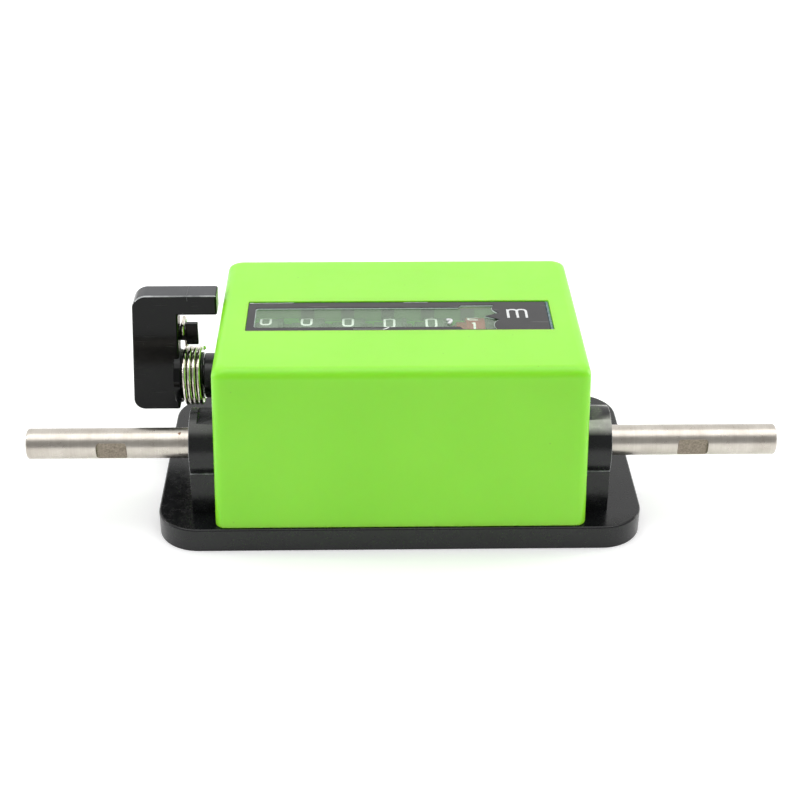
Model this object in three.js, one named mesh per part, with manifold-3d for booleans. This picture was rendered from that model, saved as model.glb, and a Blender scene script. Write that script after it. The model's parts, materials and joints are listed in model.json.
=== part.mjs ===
// Mechanical length counter: a through shaft turned by a measuring wheel drives six number wheels
// under a window. Millimetres, +Z up, +X along the shaft, origin at the middle of the base underside.
import * as THREE from 'three';
import { mergeVertices } from 'three/addons/utils/BufferGeometryUtils.js';
import Module from 'manifold-3d';

const wasm = await Module();
wasm.setup();

// ---------------------------------------------------------------- driving dimensions
const GAP = 0.3;                       // running and assembly clearance

const PLATE = { width: 127, depth: 69, height: 6.6, corner: 11, edge: 0.5 };
const COVER = {
  bottomWidth: 96, bottomDepth: 67.6, topWidth: 94, topDepth: 64.6,
  top: 52.2, wall: 2, topWall: 2.4, corner: 2.6, fillet: 2.8,
};
const COVER_FOOT = PLATE.height + GAP;

const WINDOW = {
  halfLength: 40, front: -11.1, back: 6, recess: 1.7, lightMargin: 0.9,
  openLeft: -37.7, openRight: 25.2, openFront: -8.6, openBack: 2.5,
  wideFrom: 15.85, wideFront: -10, wideBack: 3.75,
  maskTop: 51.9, maskBottom: 51.6, paneTop: 51.5, paneBottom: 50.6,
};

const SHAFT = { y: -18, z: 23, radius: 4, left: -97, right: 98.4, bevel: 0.4 };
const FLAT = { length: 8, depth: 0.8, leftFrom: -78.9, rightFrom: 72.4, tilt: THREE.MathUtils.degToRad(6) };
const BOSS = { radius: 9.2, end: 54.4, inner: 46.6, halfBlock: 8.4, blockTop: 18.7, landTop: 31.6, rim: 2.4 };
const BUSH = { radius: 6, bore: 4.3, from: 46.8, to: 52 };

const WHEEL_AXIS = { y: 0, z: 38.2, radius: 2 };
const WHEEL = {
  radius: 10.45, shoulder: 9.4, pitch: 10.9, first: -35.2,
  rimLeft: 1.7, shoulderLeft: 4.1, rimRight: 3.4, bore: 2.3,
};
const NUMBER_WHEELS = ['wheel_ten_thousands', 'wheel_thousands', 'wheel_hundreds', 'wheel_tens',
  'wheel_ones', 'wheel_tenths'];

const CARRY_DIRECTION = THREE.MathUtils.degToRad(-8);
const CARRY = {
  module: 0.977, ringTeeth: 20, pinionTeeth: 8, ringWidth: 1.1, flange: 8.5, flangeWidth: 0.9, tooth: 0.25,
};
const CARRY_DISTANCE = CARRY.module * (CARRY.ringTeeth + CARRY.pinionTeeth) / 2;
const CARRY_AXIS = {
  y: WHEEL_AXIS.y + CARRY_DISTANCE * Math.cos(CARRY_DIRECTION),
  z: WHEEL_AXIS.z + CARRY_DISTANCE * Math.sin(CARRY_DIRECTION),
  radius: 1.25,
};

const TRAIN = { module: 0.75, shaftTeeth: 16, idlerTeeth: 24, idlerPinionTeeth: 14, wheelTeeth: 28 };
const RESET = { y: 10.5, z: 27.2, rod: 2.5, sleeve: 3.4, finger: 9.4, swing: THREE.MathUtils.degToRad(60) };
const CAM = { small: 3.4, large: 5.4, width: 1.1 };

const FRAME = { thickness: 2.2, leftInner: -42.4, rightInner: 36.2, front: -8.4, back: 24, top: 47 };
const HUB = { radius: 6.2, end: -53, anchorTo: -48.4 };
const LEVER = {
  front: 7.5, back: 14, top: 53.1, bottom: 18.05, barBottom: 47.2, barEnd: -48.6,
  leftTop: -71.3, leftBottom: -72.9, rightTop: -59.2, rightBottom: -60.3, hub: 6.4, hubEnd: -53.3,
};
const SPRING = { mean: 7.65, wire: 0.5, left: -58.7, turns: 4, pitch: 1.35 };
const TIE = { radius: 2, rearY: 20, rearZ: 42, frontY: 6, frontZ: 12.6 };

// ---------------------------------------------------------------- solids and outlines
function toSolid(geometry) {
  const bare = geometry.clone();
  bare.deleteAttribute('normal');
  bare.deleteAttribute('uv');
  const merged = mergeVertices(bare, 1e-5);
  return new wasm.Manifold(new wasm.Mesh({
    numProp: 3,
    vertProperties: new Float32Array(merged.attributes.position.array),
    triVerts: new Uint32Array(merged.index.array),
  }));
}

function toGeometry(solid) {
  const mesh = solid.getMesh();
  const geometry = new THREE.BufferGeometry();
  geometry.setAttribute('position', new THREE.BufferAttribute(new Float32Array(mesh.vertProperties), 3));
  geometry.setIndex(new THREE.BufferAttribute(new Uint32Array(mesh.triVerts), 1));
  geometry.computeVertexNormals();
  return geometry;
}

function join(...solids) {
  return solids.reduce((sum, solid) => sum.add(solid));
}

function cut(body, ...tools) {
  return tools.reduce((rest, tool) => rest.subtract(tool), body);
}

// An outline of [y, z] points pushed along X from x0 to x1.
function alongX(outline, x0, x1) {
  const shape = new THREE.Shape(outline.map(([y, z]) => new THREE.Vector2(y, z)));
  const geometry = new THREE.ExtrudeGeometry(shape, { depth: x1 - x0, bevelEnabled: false });
  geometry.applyMatrix4(new THREE.Matrix4().set(0, 0, 1, x0, 1, 0, 0, 0, 0, 1, 0, 0, 0, 0, 0, 1));
  return toSolid(geometry);
}

// An outline of [x, y] points pushed up from z0 to z1.
function alongZ(outline, z0, z1) {
  const shape = new THREE.Shape(outline.map(([x, y]) => new THREE.Vector2(x, y)));
  const geometry = new THREE.ExtrudeGeometry(shape, { depth: z1 - z0, bevelEnabled: false });
  geometry.translate(0, 0, z0);
  return toSolid(geometry);
}

// An outline of [x, z] points pushed along Y from y0 to y1.
function alongY(outline, y0, y1) {
  const shape = new THREE.Shape(outline.map(([x, z]) => new THREE.Vector2(x, z)));
  const geometry = new THREE.ExtrudeGeometry(shape, { depth: y1 - y0, bevelEnabled: false });
  geometry.applyMatrix4(new THREE.Matrix4().set(1, 0, 0, 0, 0, 0, -1, y1, 0, 1, 0, 0, 0, 0, 0, 1));
  return toSolid(geometry);
}

function block(x0, x1, y0, y1, z0, z1) {
  const geometry = new THREE.BoxGeometry(x1 - x0, y1 - y0, z1 - z0);
  geometry.translate((x0 + x1) / 2, (y0 + y1) / 2, (z0 + z1) / 2);
  return toSolid(geometry);
}

function circle(y, z, radius, segments) {
  return Array.from({ length: segments }, (_, i) => {
    const angle = 2 * Math.PI * i / segments;
    return [y + radius * Math.cos(angle), z + radius * Math.sin(angle)];
  });
}

function rod(axis, radius, x0, x1, segments = 16) {
  return alongX(circle(axis.y, axis.z, radius, segments), x0, x1);
}

function upright(x, y, radius, z0, z1, segments = 12) {
  return alongZ(circle(x, y, radius, segments), z0, z1);
}

function arc(y, z, radius, from, to, steps) {
  return Array.from({ length: steps + 1 }, (_, i) => {
    const angle = from + (to - from) * i / steps;
    return [y + radius * Math.cos(angle), z + radius * Math.sin(angle)];
  });
}

function roundedRectangle(width, depth, radius, steps = 4) {
  const x = width / 2 - radius;
  const y = depth / 2 - radius;
  const quarter = Math.PI / 2;
  return [[x, y], [-x, y], [-x, -y], [x, -y]].flatMap(([cx, cy], i) =>
    arc(cx, cy, radius, i * quarter, (i + 1) * quarter, steps));
}

// A closed body through rounded rectangles [width, depth, corner, z], all with the same point count.
function loft(rings) {
  const outlines = rings.map(([width, depth, corner, z]) =>
    roundedRectangle(width, depth, corner).map(([x, y]) => [x, y, z]));
  const count = outlines[0].length;
  const positions = outlines.flat(2);
  const index = [];
  for (let ring = 0; ring < rings.length - 1; ring += 1) {
    for (let i = 0; i < count; i += 1) {
      const a = ring * count + i;
      const b = ring * count + (i + 1) % count;
      index.push(a, b, b + count, a, b + count, a + count);
    }
  }
  const last = (rings.length - 1) * count;
  for (let i = 1; i < count - 1; i += 1) {
    index.push(0, i + 1, i);
    index.push(last, last + i, last + i + 1);
  }
  const geometry = new THREE.BufferGeometry();
  geometry.setAttribute('position', new THREE.Float32BufferAttribute(positions, 3));
  geometry.setIndex(index);
  return toSolid(geometry);
}

// A spur gear outline round an axis, with a tooth centred at the angle given.
function gearOutline(axis, teeth, module, toothAngle) {
  const pitchRadius = module * teeth / 2;
  const step = 2 * Math.PI / teeth;
  const root = pitchRadius - 1.2 * module;
  const tip = pitchRadius + 0.85 * module;
  const flank = [[root, -0.285], [tip, -0.115], [tip, 0.115], [root, 0.285]];
  const points = [];
  for (let tooth = 0; tooth < teeth; tooth += 1) {
    for (const [radius, share] of flank) {
      const angle = toothAngle + step * (tooth + share);
      points.push([axis.y + radius * Math.cos(angle), axis.z + radius * Math.sin(angle)]);
    }
  }
  return points;
}

function directionTo(from, to) {
  return Math.atan2(to.z - from.z, to.y - from.y);
}

// ---------------------------------------------------------------- node list
const counter = new THREE.Group();
const FINISH = {
  black: { color: 0x141516, roughness: 0.35, metalness: 0 },
  green: { color: 0x7ed83a, roughness: 0.4, metalness: 0 },
  steel: { color: 0xb9b5ae, roughness: 0.3, metalness: 1 },
  brass: { color: 0xb08d4a, roughness: 0.35, metalness: 1 },
  white: { color: 0xdedbd2, roughness: 0.5, metalness: 0 },
  red: { color: 0xb3261c, roughness: 0.45, metalness: 0 },
  clear: { color: 0xdfe8e6, roughness: 0.05, metalness: 0, transparent: true, opacity: 0.25 },
};

function addNode(name, solid, finish, parent = counter) {
  const mesh = new THREE.Mesh(toGeometry(solid), new THREE.MeshStandardMaterial(FINISH[finish]));
  mesh.name = name;
  parent.add(mesh);
  return mesh;
}

// ---------------------------------------------------------------- idler axis, from the two gear distances
function idlerAxis() {
  const first = TRAIN.module * (TRAIN.shaftTeeth + TRAIN.idlerTeeth) / 2;
  const second = TRAIN.module * (TRAIN.idlerPinionTeeth + TRAIN.wheelTeeth) / 2;
  const dy = WHEEL_AXIS.y - SHAFT.y;
  const dz = WHEEL_AXIS.z - SHAFT.z;
  const span = Math.hypot(dy, dz);
  const along = (first ** 2 - second ** 2 + span ** 2) / (2 * span);
  const aside = Math.sqrt(first ** 2 - along ** 2);
  return {
    y: SHAFT.y + (along * dy + aside * dz) / span,
    z: SHAFT.z + (along * dz - aside * dy) / span,
    radius: 1.5,
  };
}
const IDLER_AXIS = idlerAxis();

// ---------------------------------------------------------------- base plate and bearing pedestals
const COVER_SCREW = { x: 43, y: 29.4, hole: 1.7, head: 3.3, headDepth: 2.6, thread: 1.2 };
const FRAME_SCREWS = [[-38, 3], [-38, 17], [41.5, 3], [41.5, 17]];
const COVER_SCREWS = [[1, 1], [-1, 1], [-1, -1], [1, -1]].map(([sx, sy]) =>
  [sx * COVER_SCREW.x, sy * COVER_SCREW.y]);

function pedestal(side) {
  const lift = BOSS.blockTop - SHAFT.z;
  const reach = Math.asin(lift / BOSS.radius);
  const outline = [
    [SHAFT.y + BOSS.halfBlock, PLATE.height - 1], [SHAFT.y + BOSS.halfBlock, BOSS.blockTop],
    ...arc(SHAFT.y, SHAFT.z, BOSS.radius, reach, Math.PI - reach, 16),
    [SHAFT.y - BOSS.halfBlock, BOSS.blockTop], [SHAFT.y - BOSS.halfBlock, PLATE.height - 1],
  ];
  const from = (distance) => Math.min(side * distance[0], side * distance[1]);
  const to = (distance) => Math.max(side * distance[0], side * distance[1]);
  const body = [BOSS.inner, BOSS.end];
  const land = [BOSS.inner - 1, BOSS.end - BOSS.rim];
  const seat = [BOSS.inner - 1, BUSH.to + GAP];
  const mouth = [BOSS.inner - 1, BOSS.end + 1];
  return cut(
    alongX(outline, from(body), to(body)),
    block(from(land), to(land), SHAFT.y - BOSS.radius, SHAFT.y + BOSS.radius, BOSS.landTop, BOSS.landTop + 4),
    rod(SHAFT, BUSH.radius + GAP, from(seat), to(seat), 24),
    rod(SHAFT, SHAFT.radius + 0.4, from(mouth), to(mouth), 24),
  );
}

function basePlate() {
  const { width, depth, height, corner, edge } = PLATE;
  const plate = loft([
    [width - 2 * edge, depth - 2 * edge, corner - edge, 0],
    [width, depth, corner, edge],
    [width, depth, corner, height - edge],
    [width - 2 * edge, depth - 2 * edge, corner - edge, height],
  ]);
  const holes = [...COVER_SCREWS, ...FRAME_SCREWS].flatMap(([x, y]) => [
    upright(x, y, COVER_SCREW.hole, -1, height + 1),
    upright(x, y, COVER_SCREW.head, -1, COVER_SCREW.headDepth),
  ]);
  return cut(join(plate, pedestal(1), pedestal(-1)), ...holes);
}
addNode('base_plate', basePlate(), 'black');

// ---------------------------------------------------------------- cover with its slots and window
function coverShell() {
  const { bottomWidth, bottomDepth, topWidth, topDepth, top, wall, topWall, corner, fillet } = COVER;
  const shrink = (amount) => [topWidth - 2 * amount, topDepth - 2 * amount];
  const roundOver = [0, 22.5, 45, 67.5, 90].map((degrees) => {
    const angle = THREE.MathUtils.degToRad(degrees);
    const inset = fillet * (1 - Math.cos(angle));
    return [...shrink(inset), corner, top - fillet * (1 - Math.sin(angle))];
  });
  const outside = loft([[bottomWidth, bottomDepth, corner, COVER_FOOT], ...roundOver]);
  const inside = loft([
    [bottomWidth - 2 * wall, bottomDepth - 2 * wall, 1, COVER_FOOT - 1],
    [topWidth - 2 * wall, topDepth - 2 * wall, 1, top - topWall],
  ]);
  return cut(outside, inside);
}

function sideSlot(axis, radius, x0, x1) {
  const outline = [
    [axis.y + radius, COVER_FOOT - 1], ...arc(axis.y, axis.z, radius, 0, Math.PI, 16),
    [axis.y - radius, COVER_FOOT - 1],
  ];
  return alongX(outline, x0, x1);
}

function coverPost([x, y]) {
  const outer = block(x - 3, x + 3, y - 2.4, y + 2.4, COVER_FOOT, COVER.top - COVER.topWall + 0.4);
  return cut(outer, upright(x, y, COVER_SCREW.thread, COVER_FOOT - 1, COVER_FOOT + 14));
}

function cover() {
  const shell = join(coverShell(), ...COVER_SCREWS.map(coverPost));
  const recess = block(-WINDOW.halfLength, WINDOW.halfLength, WINDOW.front, WINDOW.back,
    COVER.top - WINDOW.recess, COVER.top + 1);
  const light = block(-WINDOW.halfLength + 1.4, 28, WINDOW.front + WINDOW.lightMargin,
    WINDOW.back - 1.2, 40, COVER.top);
  const bossSlots = [[-50, -40], [40, 50]].map(([x0, x1]) => sideSlot(SHAFT, BOSS.radius + GAP, x0, x1));
  const hubSlot = sideSlot(RESET, HUB.radius + 0.8, -50, -40);
  return cut(shell, recess, light, ...bossSlots, hubSlot);
}
addNode('cover', cover(), 'green');

// ---------------------------------------------------------------- window strip and pane
function indexEdge() {
  // Right end of the clear opening: two waves with a pointer between them, at the tenths wheel.
  const x = WINDOW.openRight;
  const middle = (WINDOW.wideFront + WINDOW.wideBack) / 2 + 0.4;
  return [
    [x - 0.2, WINDOW.wideFront], [x - 0.85, middle - 3.9], [x + 0.9, middle - 1.9],
    [x - 2.7, middle], [x + 0.9, middle + 1.9], [x - 0.85, middle + 4.6], [x, WINDOW.wideBack],
  ];
}

function windowMask() {
  const inset = GAP;
  const strip = block(-WINDOW.halfLength + inset, WINDOW.halfLength - inset, WINDOW.front + inset,
    WINDOW.back - inset, WINDOW.maskBottom, WINDOW.maskTop);
  const opening = alongZ([
    [WINDOW.openLeft, WINDOW.openFront], [WINDOW.wideFrom, WINDOW.openFront],
    [WINDOW.wideFrom, WINDOW.wideFront], ...indexEdge(), [WINDOW.wideFrom, WINDOW.wideBack],
    [WINDOW.wideFrom, WINDOW.openBack], [WINDOW.openLeft, WINDOW.openBack],
  ], WINDOW.maskTop - 1, WINDOW.maskTop + 1);
  return cut(strip, opening);
}
addNode('window_mask', windowMask(), 'black');
addNode('window_pane', block(-WINDOW.halfLength + GAP, WINDOW.halfLength - GAP, WINDOW.front + GAP,
  WINDOW.back - GAP, WINDOW.paneBottom, WINDOW.paneTop), 'clear');

// ---------------------------------------------------------------- inner side frames
function framePlate(x0, x1) {
  const { front, back, top } = FRAME;
  const foot = COVER_FOOT;
  return alongX([
    [front, foot], [back, foot], [back, top - 3], [back - 3, top], [front + 3, top], [front, top - 3],
  ], x0, x1);
}

function frameHoles(x0, x1) {
  return [
    rod(RESET, RESET.rod + GAP, x0, x1),
    rod({ y: TIE.rearY, z: TIE.rearZ }, TIE.radius * 0.6 + 0.1, x0, x1),
    rod({ y: TIE.frontY, z: TIE.frontZ }, TIE.radius * 0.6 + 0.1, x0, x1),
  ];
}

function screwThreads(screws) {
  return screws.map(([x, y]) => upright(x, y, COVER_SCREW.thread, COVER_FOOT - 1, COVER_FOOT + 4));
}

function leftFrame() {
  const inner = FRAME.leftInner;
  const outer = inner - FRAME.thickness;
  const hub = rod(RESET, HUB.radius, HUB.end, outer + 0.5, 32);
  const anchor = block(HUB.end, HUB.anchorTo, 12, 15.5, RESET.z - 1, 31.4);
  const foot = block(outer, -33.5, 0, 20, COVER_FOOT, COVER_FOOT + 3);
  return cut(join(framePlate(outer, inner), hub, anchor, foot),
    rod(WHEEL_AXIS, WHEEL_AXIS.radius + 0.1, inner - 1.6, inner + 1),
    rod(CARRY_AXIS, CARRY_AXIS.radius + 0.1, inner - 1.6, inner + 1),
    ...frameHoles(HUB.end - 1, inner + 1), ...screwThreads(FRAME_SCREWS.slice(0, 2)));
}

function rightFrame() {
  const inner = FRAME.rightInner;
  const outer = inner + FRAME.thickness;
  const foot = block(inner, 44.6, 0, 20, COVER_FOOT, COVER_FOOT + 3);
  return cut(join(framePlate(inner, outer), foot),
    rod(WHEEL_AXIS, WHEEL_AXIS.radius + 0.1, inner - 1, outer + 1),
    rod(CARRY_AXIS, CARRY_AXIS.radius + 0.1, inner - 1, outer + 1),
    rod(IDLER_AXIS, IDLER_AXIS.radius + 0.1, inner - 1, outer + 1),
    ...frameHoles(inner - 1, outer + 1), ...screwThreads(FRAME_SCREWS.slice(2)));
}
addNode('left_frame', leftFrame(), 'black');
addNode('right_frame', rightFrame(), 'black');

// ---------------------------------------------------------------- fixed rods, clips, spacer, comb
function shoulderRod(y, z) {
  const axis = { y, z };
  const { leftInner, rightInner, thickness } = FRAME;
  return join(
    rod(axis, TIE.radius, leftInner + 0.1, rightInner - 0.1),
    rod(axis, TIE.radius * 0.6, leftInner - thickness + GAP, rightInner + thickness - GAP),
  );
}

// An open snap ring round an axis; its mouth points down.
function snapRing(axis, inner, outer, x0, x1) {
  const mouth = THREE.MathUtils.degToRad(25);
  const start = -Math.PI / 2 + mouth;
  const end = 3 * Math.PI / 2 - mouth;
  const outline = [...arc(axis.y, axis.z, outer, start, end, 12), ...arc(axis.y, axis.z, inner, end, start, 12)];
  return alongX(outline, x0, x1);
}

function groovedRod(axis, x0, x1, grooves) {
  return cut(rod(axis, axis.radius, x0, x1), ...grooves.map(([from, to]) =>
    cut(rod(axis, axis.radius + 1, from, to), rod(axis, axis.radius - 0.5, from - 1, to + 1))));
}

const CLIP_AT = FRAME.rightInner + FRAME.thickness + 0.4;
const CLIP_WIDTH = 0.8;
const CLIP_GROOVE = [CLIP_AT - 0.2, CLIP_AT + CLIP_WIDTH + 0.2];
const LEFT_SEAT = FRAME.leftInner - 1.4;
const ROD_END = CLIP_AT + 2.2;

addNode('wheel_axle', groovedRod(WHEEL_AXIS, LEFT_SEAT, ROD_END, [CLIP_GROOVE]), 'steel');
addNode('carry_axle', groovedRod(CARRY_AXIS, LEFT_SEAT, ROD_END, [CLIP_GROOVE]), 'steel');
addNode('rear_tie_rod', shoulderRod(TIE.rearY, TIE.rearZ), 'steel');
addNode('front_tie_rod', shoulderRod(TIE.frontY, TIE.frontZ), 'steel');
for (const [name, axis] of [['wheel_axle_clip', WHEEL_AXIS], ['carry_axle_clip', CARRY_AXIS]]) {
  addNode(name, snapRing(axis, axis.radius - 0.3, axis.radius + 1.6, CLIP_AT, CLIP_AT + CLIP_WIDTH), 'steel');
}

const IDLER_X = { pinionFrom: 23, gearFrom: 27.2, gearTo: 30.2, clip: 21.9 };
addNode('idler_stud', groovedRod(IDLER_AXIS, IDLER_X.clip - 1, FRAME.rightInner + FRAME.thickness - 0.1,
  [[IDLER_X.clip - 0.2, IDLER_X.clip + 0.9]]), 'steel');
addNode('idler_clip', snapRing(IDLER_AXIS, IDLER_AXIS.radius - 0.3, IDLER_AXIS.radius + 1.4,
  IDLER_X.clip, IDLER_X.clip + 0.7), 'steel');
addNode('idler_spacer', cut(rod(IDLER_AXIS, 3, IDLER_X.gearTo + GAP, FRAME.rightInner - GAP),
  rod(IDLER_AXIS, IDLER_AXIS.radius + GAP, IDLER_X.gearTo, FRAME.rightInner)), 'white');

const INPUT_GEAR = { from: 23.1, to: 26.3, hubTo: 29, hub: 4 };
addNode('axle_spacer', cut(rod(WHEEL_AXIS, 3.4, INPUT_GEAR.hubTo + GAP, FRAME.rightInner - GAP),
  rod(WHEEL_AXIS, WHEEL.bore, INPUT_GEAR.hubTo, FRAME.rightInner)), 'white');

function wheelCentre(i) {
  return WHEEL.first + i * WHEEL.pitch;
}

// Spring comb: a curled sleeve on the rear tie rod with one leaf behind each of five wheels.
function brakeComb() {
  const axis = { y: TIE.rearY, z: TIE.rearZ };
  const sleeve = rod(axis, TIE.radius + 0.9, wheelCentre(1) - 3, wheelCentre(5) + 3);
  const leaf = [[19.4, 44.2], [15, 45.8], [13.6, 45.8], [10.9, 43.9], [11.2, 43.4], [13.7, 45.1],
    [14.8, 45.1], [19.2, 43.4]];
  const leaves = [1, 2, 3, 4, 5].map((i) => alongX(leaf, wheelCentre(i) - 2.1, wheelCentre(i) + 1.4));
  return cut(join(sleeve, ...leaves), rod(axis, TIE.radius + GAP, wheelCentre(1) - 4, wheelCentre(5) + 4));
}
addNode('brake_comb', brakeComb(), 'steel');

function bush(side) {
  const x0 = side > 0 ? BUSH.from : -BUSH.to;
  const x1 = side > 0 ? BUSH.to : -BUSH.from;
  return cut(rod(SHAFT, BUSH.radius, x0, x1, 24), rod(SHAFT, BUSH.bore, x0 - 1, x1 + 1, 24));
}
addNode('bearing_bush_left', bush(-1), 'brass');
addNode('bearing_bush_right', bush(1), 'brass');

function screw([x, y], length) {
  const head = upright(x, y, COVER_SCREW.head - GAP, 0.4, COVER_SCREW.headDepth - 0.1);
  const shank = upright(x, y, 1, COVER_SCREW.headDepth - 0.5, length, 8);
  const slot = block(x - 2.2, x + 2.2, y - 0.35, y + 0.35, 0, 1.1);
  const crossSlot = block(x - 0.35, x + 0.35, y - 2.2, y + 2.2, 0, 1.1);
  return cut(join(head, shank), slot, crossSlot);
}
COVER_SCREWS.forEach((place, i) => addNode(`cover_screw_${i + 1}`, screw(place, COVER_FOOT + 12), 'steel'));
FRAME_SCREWS.forEach((place, i) => addNode(`frame_screw_${i + 1}`, screw(place, COVER_FOOT + 2.8), 'steel'));

// ---------------------------------------------------------------- main shaft with its drive gear
const SHAFT_CLIPS = [[-45.6, -44.8], [44.8, 45.6]];

function shaftFlat(from) {
  const tool = block(from, from + FLAT.length, -8, -(SHAFT.radius - FLAT.depth), -6, 6);
  const degrees = THREE.MathUtils.radToDeg(FLAT.tilt);
  return tool.rotate([degrees, 0, 0]).translate([0, SHAFT.y, SHAFT.z]);
}

function mainShaft() {
  const { left, right, radius, bevel } = SHAFT;
  const profile = [
    [0, left], [radius - bevel, left], [radius, left + bevel], [radius, right - bevel],
    [radius - bevel, right], [0, right],
  ].map(([r, x]) => new THREE.Vector2(r, x));
  const lathe = new THREE.LatheGeometry(profile, 24);
  lathe.rotateZ(-Math.PI / 2);
  lathe.translate(0, SHAFT.y, SHAFT.z);
  const grooves = SHAFT_CLIPS.map(([from, to]) => cut(
    rod(SHAFT, radius + 1, from - 0.2, to + 0.2), rod(SHAFT, radius - 0.6, from - 1, to + 1)));
  return cut(toSolid(lathe), shaftFlat(FLAT.leftFrom), shaftFlat(FLAT.rightFrom), ...grooves);
}
addNode('main_shaft', mainShaft(), 'steel');
SHAFT_CLIPS.forEach(([from, to], i) => addNode(i ? 'shaft_clip_right' : 'shaft_clip_left',
  snapRing(SHAFT, SHAFT.radius - GAP, SHAFT.radius + 2.2, from, to), 'steel'));

function driveGear() {
  const toothAngle = directionTo(SHAFT, IDLER_AXIS);
  const teeth = alongX(gearOutline(SHAFT, TRAIN.shaftTeeth, TRAIN.module, toothAngle), 27, 30.8);
  const hub = rod(SHAFT, 6.2, 30.6, 36);
  const screwHole = upright(33, SHAFT.y, 1.3, SHAFT.z, SHAFT.z + 8, 12);
  return cut(join(teeth, hub), rod(SHAFT, SHAFT.radius + 0.1, 26, 37, 24), screwHole);
}
addNode('drive_gear', driveGear(), 'brass');
addNode('gear_set_screw', upright(33, SHAFT.y, 1, SHAFT.z + SHAFT.radius + 0.1, SHAFT.z + 6.4, 12), 'steel');

// ---------------------------------------------------------------- idler and input gear
function idlerGear() {
  const toShaft = directionTo(IDLER_AXIS, SHAFT) + Math.PI / TRAIN.idlerTeeth;
  const toWheel = directionTo(IDLER_AXIS, WHEEL_AXIS);
  return cut(join(
    alongX(gearOutline(IDLER_AXIS, TRAIN.idlerTeeth, TRAIN.module, toShaft), IDLER_X.gearFrom, IDLER_X.gearTo),
    alongX(gearOutline(IDLER_AXIS, TRAIN.idlerPinionTeeth, TRAIN.module, toWheel),
      IDLER_X.pinionFrom, IDLER_X.gearFrom + 0.2),
  ), rod(IDLER_AXIS, IDLER_AXIS.radius + GAP, IDLER_X.pinionFrom - 1, IDLER_X.gearTo + 1));
}
addNode('idler_gear', idlerGear(), 'white');

function inputGear() {
  const toothAngle = directionTo(WHEEL_AXIS, IDLER_AXIS) + Math.PI / TRAIN.wheelTeeth;
  const teeth = alongX(gearOutline(WHEEL_AXIS, TRAIN.wheelTeeth, TRAIN.module, toothAngle),
    INPUT_GEAR.from, INPUT_GEAR.to);
  const hub = rod(WHEEL_AXIS, INPUT_GEAR.hub, INPUT_GEAR.to - 0.5, INPUT_GEAR.hubTo);
  return cut(join(teeth, hub), rod(WHEEL_AXIS, WHEEL.bore, INPUT_GEAR.from - 1, INPUT_GEAR.hubTo + 1));
}
addNode('input_gear', inputGear(), 'white');

// ---------------------------------------------------------------- number wheels and carry pinions
// Heart cam: its radius grows from the low point, which faces the reset fingers, round to the far side.
function heartCam() {
  const low = directionTo(WHEEL_AXIS, RESET);
  const steps = 16;
  return Array.from({ length: steps }, (_, i) => {
    const turn = 2 * Math.PI * i / steps;
    const share = Math.abs(turn <= Math.PI ? turn : 2 * Math.PI - turn) / Math.PI;
    const radius = CAM.small + (CAM.large - CAM.small) * share;
    const angle = low + turn;
    return [WHEEL_AXIS.y + radius * Math.cos(angle), WHEEL_AXIS.z + radius * Math.sin(angle)];
  });
}

// Two low carry teeth stand on the flange just past the carry pinion.
function carryTeeth(x0, x1) {
  const outer = CARRY.flange + CARRY.tooth;
  const inner = CARRY.flange - 1;
  const start = CARRY_DIRECTION + THREE.MathUtils.degToRad(42);
  const toothStep = 2 * Math.PI / CARRY.ringTeeth;
  return [0, 1].map((i) => {
    const middle = start + i * toothStep;
    const foot = toothStep * 0.28;
    const tip = toothStep * 0.14;
    const corners = [[inner, -foot], [outer, -tip], [outer, tip], [inner, foot]];
    return alongX(corners.map(([radius, offset]) => [
      WHEEL_AXIS.y + radius * Math.cos(middle + offset), WHEEL_AXIS.z + radius * Math.sin(middle + offset),
    ]), x0, x1);
  });
}

function numberWheel(i) {
  const centre = wheelCentre(i);
  const left = centre - WHEEL.shoulderLeft;
  const right = centre + WHEEL.rimRight;
  const flangeLeft = left - CARRY.flangeWidth;
  const last = i === NUMBER_WHEELS.length - 1;
  const pieces = [
    rod(WHEEL_AXIS, WHEEL.radius, centre - WHEEL.rimLeft, right, 36),
    rod(WHEEL_AXIS, WHEEL.shoulder, left, right - 0.5, 28),
    alongX(heartCam(), flangeLeft - CAM.width, flangeLeft + 0.2),
    rod(WHEEL_AXIS, CARRY.flange, flangeLeft, left + 0.2, 24),
  ];
  if (i > 0) pieces.push(...carryTeeth(flangeLeft, left + 0.2));
  if (!last) {
    const gapAngle = CARRY_DIRECTION + Math.PI / CARRY.ringTeeth;
    const ring = gearOutline(WHEEL_AXIS, CARRY.ringTeeth, CARRY.module, gapAngle);
    pieces.push(alongX(ring, right - 0.2, right + CARRY.ringWidth));
  }
  return cut(join(...pieces), rod(WHEEL_AXIS, WHEEL.bore, flangeLeft - CAM.width - 1, right + 3));
}
NUMBER_WHEELS.forEach((name, i) =>
  addNode(name, numberWheel(i), i === NUMBER_WHEELS.length - 1 ? 'red' : 'black'));

function carryPinion(i) {
  const from = wheelCentre(i) + WHEEL.rimRight + GAP;
  const to = wheelCentre(i + 1) - WHEEL.shoulderLeft - GAP;
  const step = 2 * Math.PI / CARRY.pinionTeeth;
  const toothAngle = CARRY_DIRECTION + Math.PI;
  const outline = gearOutline(CARRY_AXIS, CARRY.pinionTeeth, CARRY.module, toothAngle);
  const wide = alongX(outline, from, to);
  // Every other tooth stops short of the carry flange.
  const short = [0, 2, 4, 6].map((tooth) => {
    const middle = toothAngle + tooth * step;
    const half = step * 0.36;
    const corners = [[2.6, -half], [6, -half], [6, half], [2.6, half]];
    return alongX(corners.map(([radius, offset]) => [
      CARRY_AXIS.y + radius * Math.cos(middle + offset), CARRY_AXIS.z + radius * Math.sin(middle + offset),
    ]), from + CARRY.ringWidth + 0.2, to + 1);
  });
  return cut(wide, rod(CARRY_AXIS, CARRY_AXIS.radius + GAP, from - 1, to + 1, 16), ...short);
}
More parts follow.
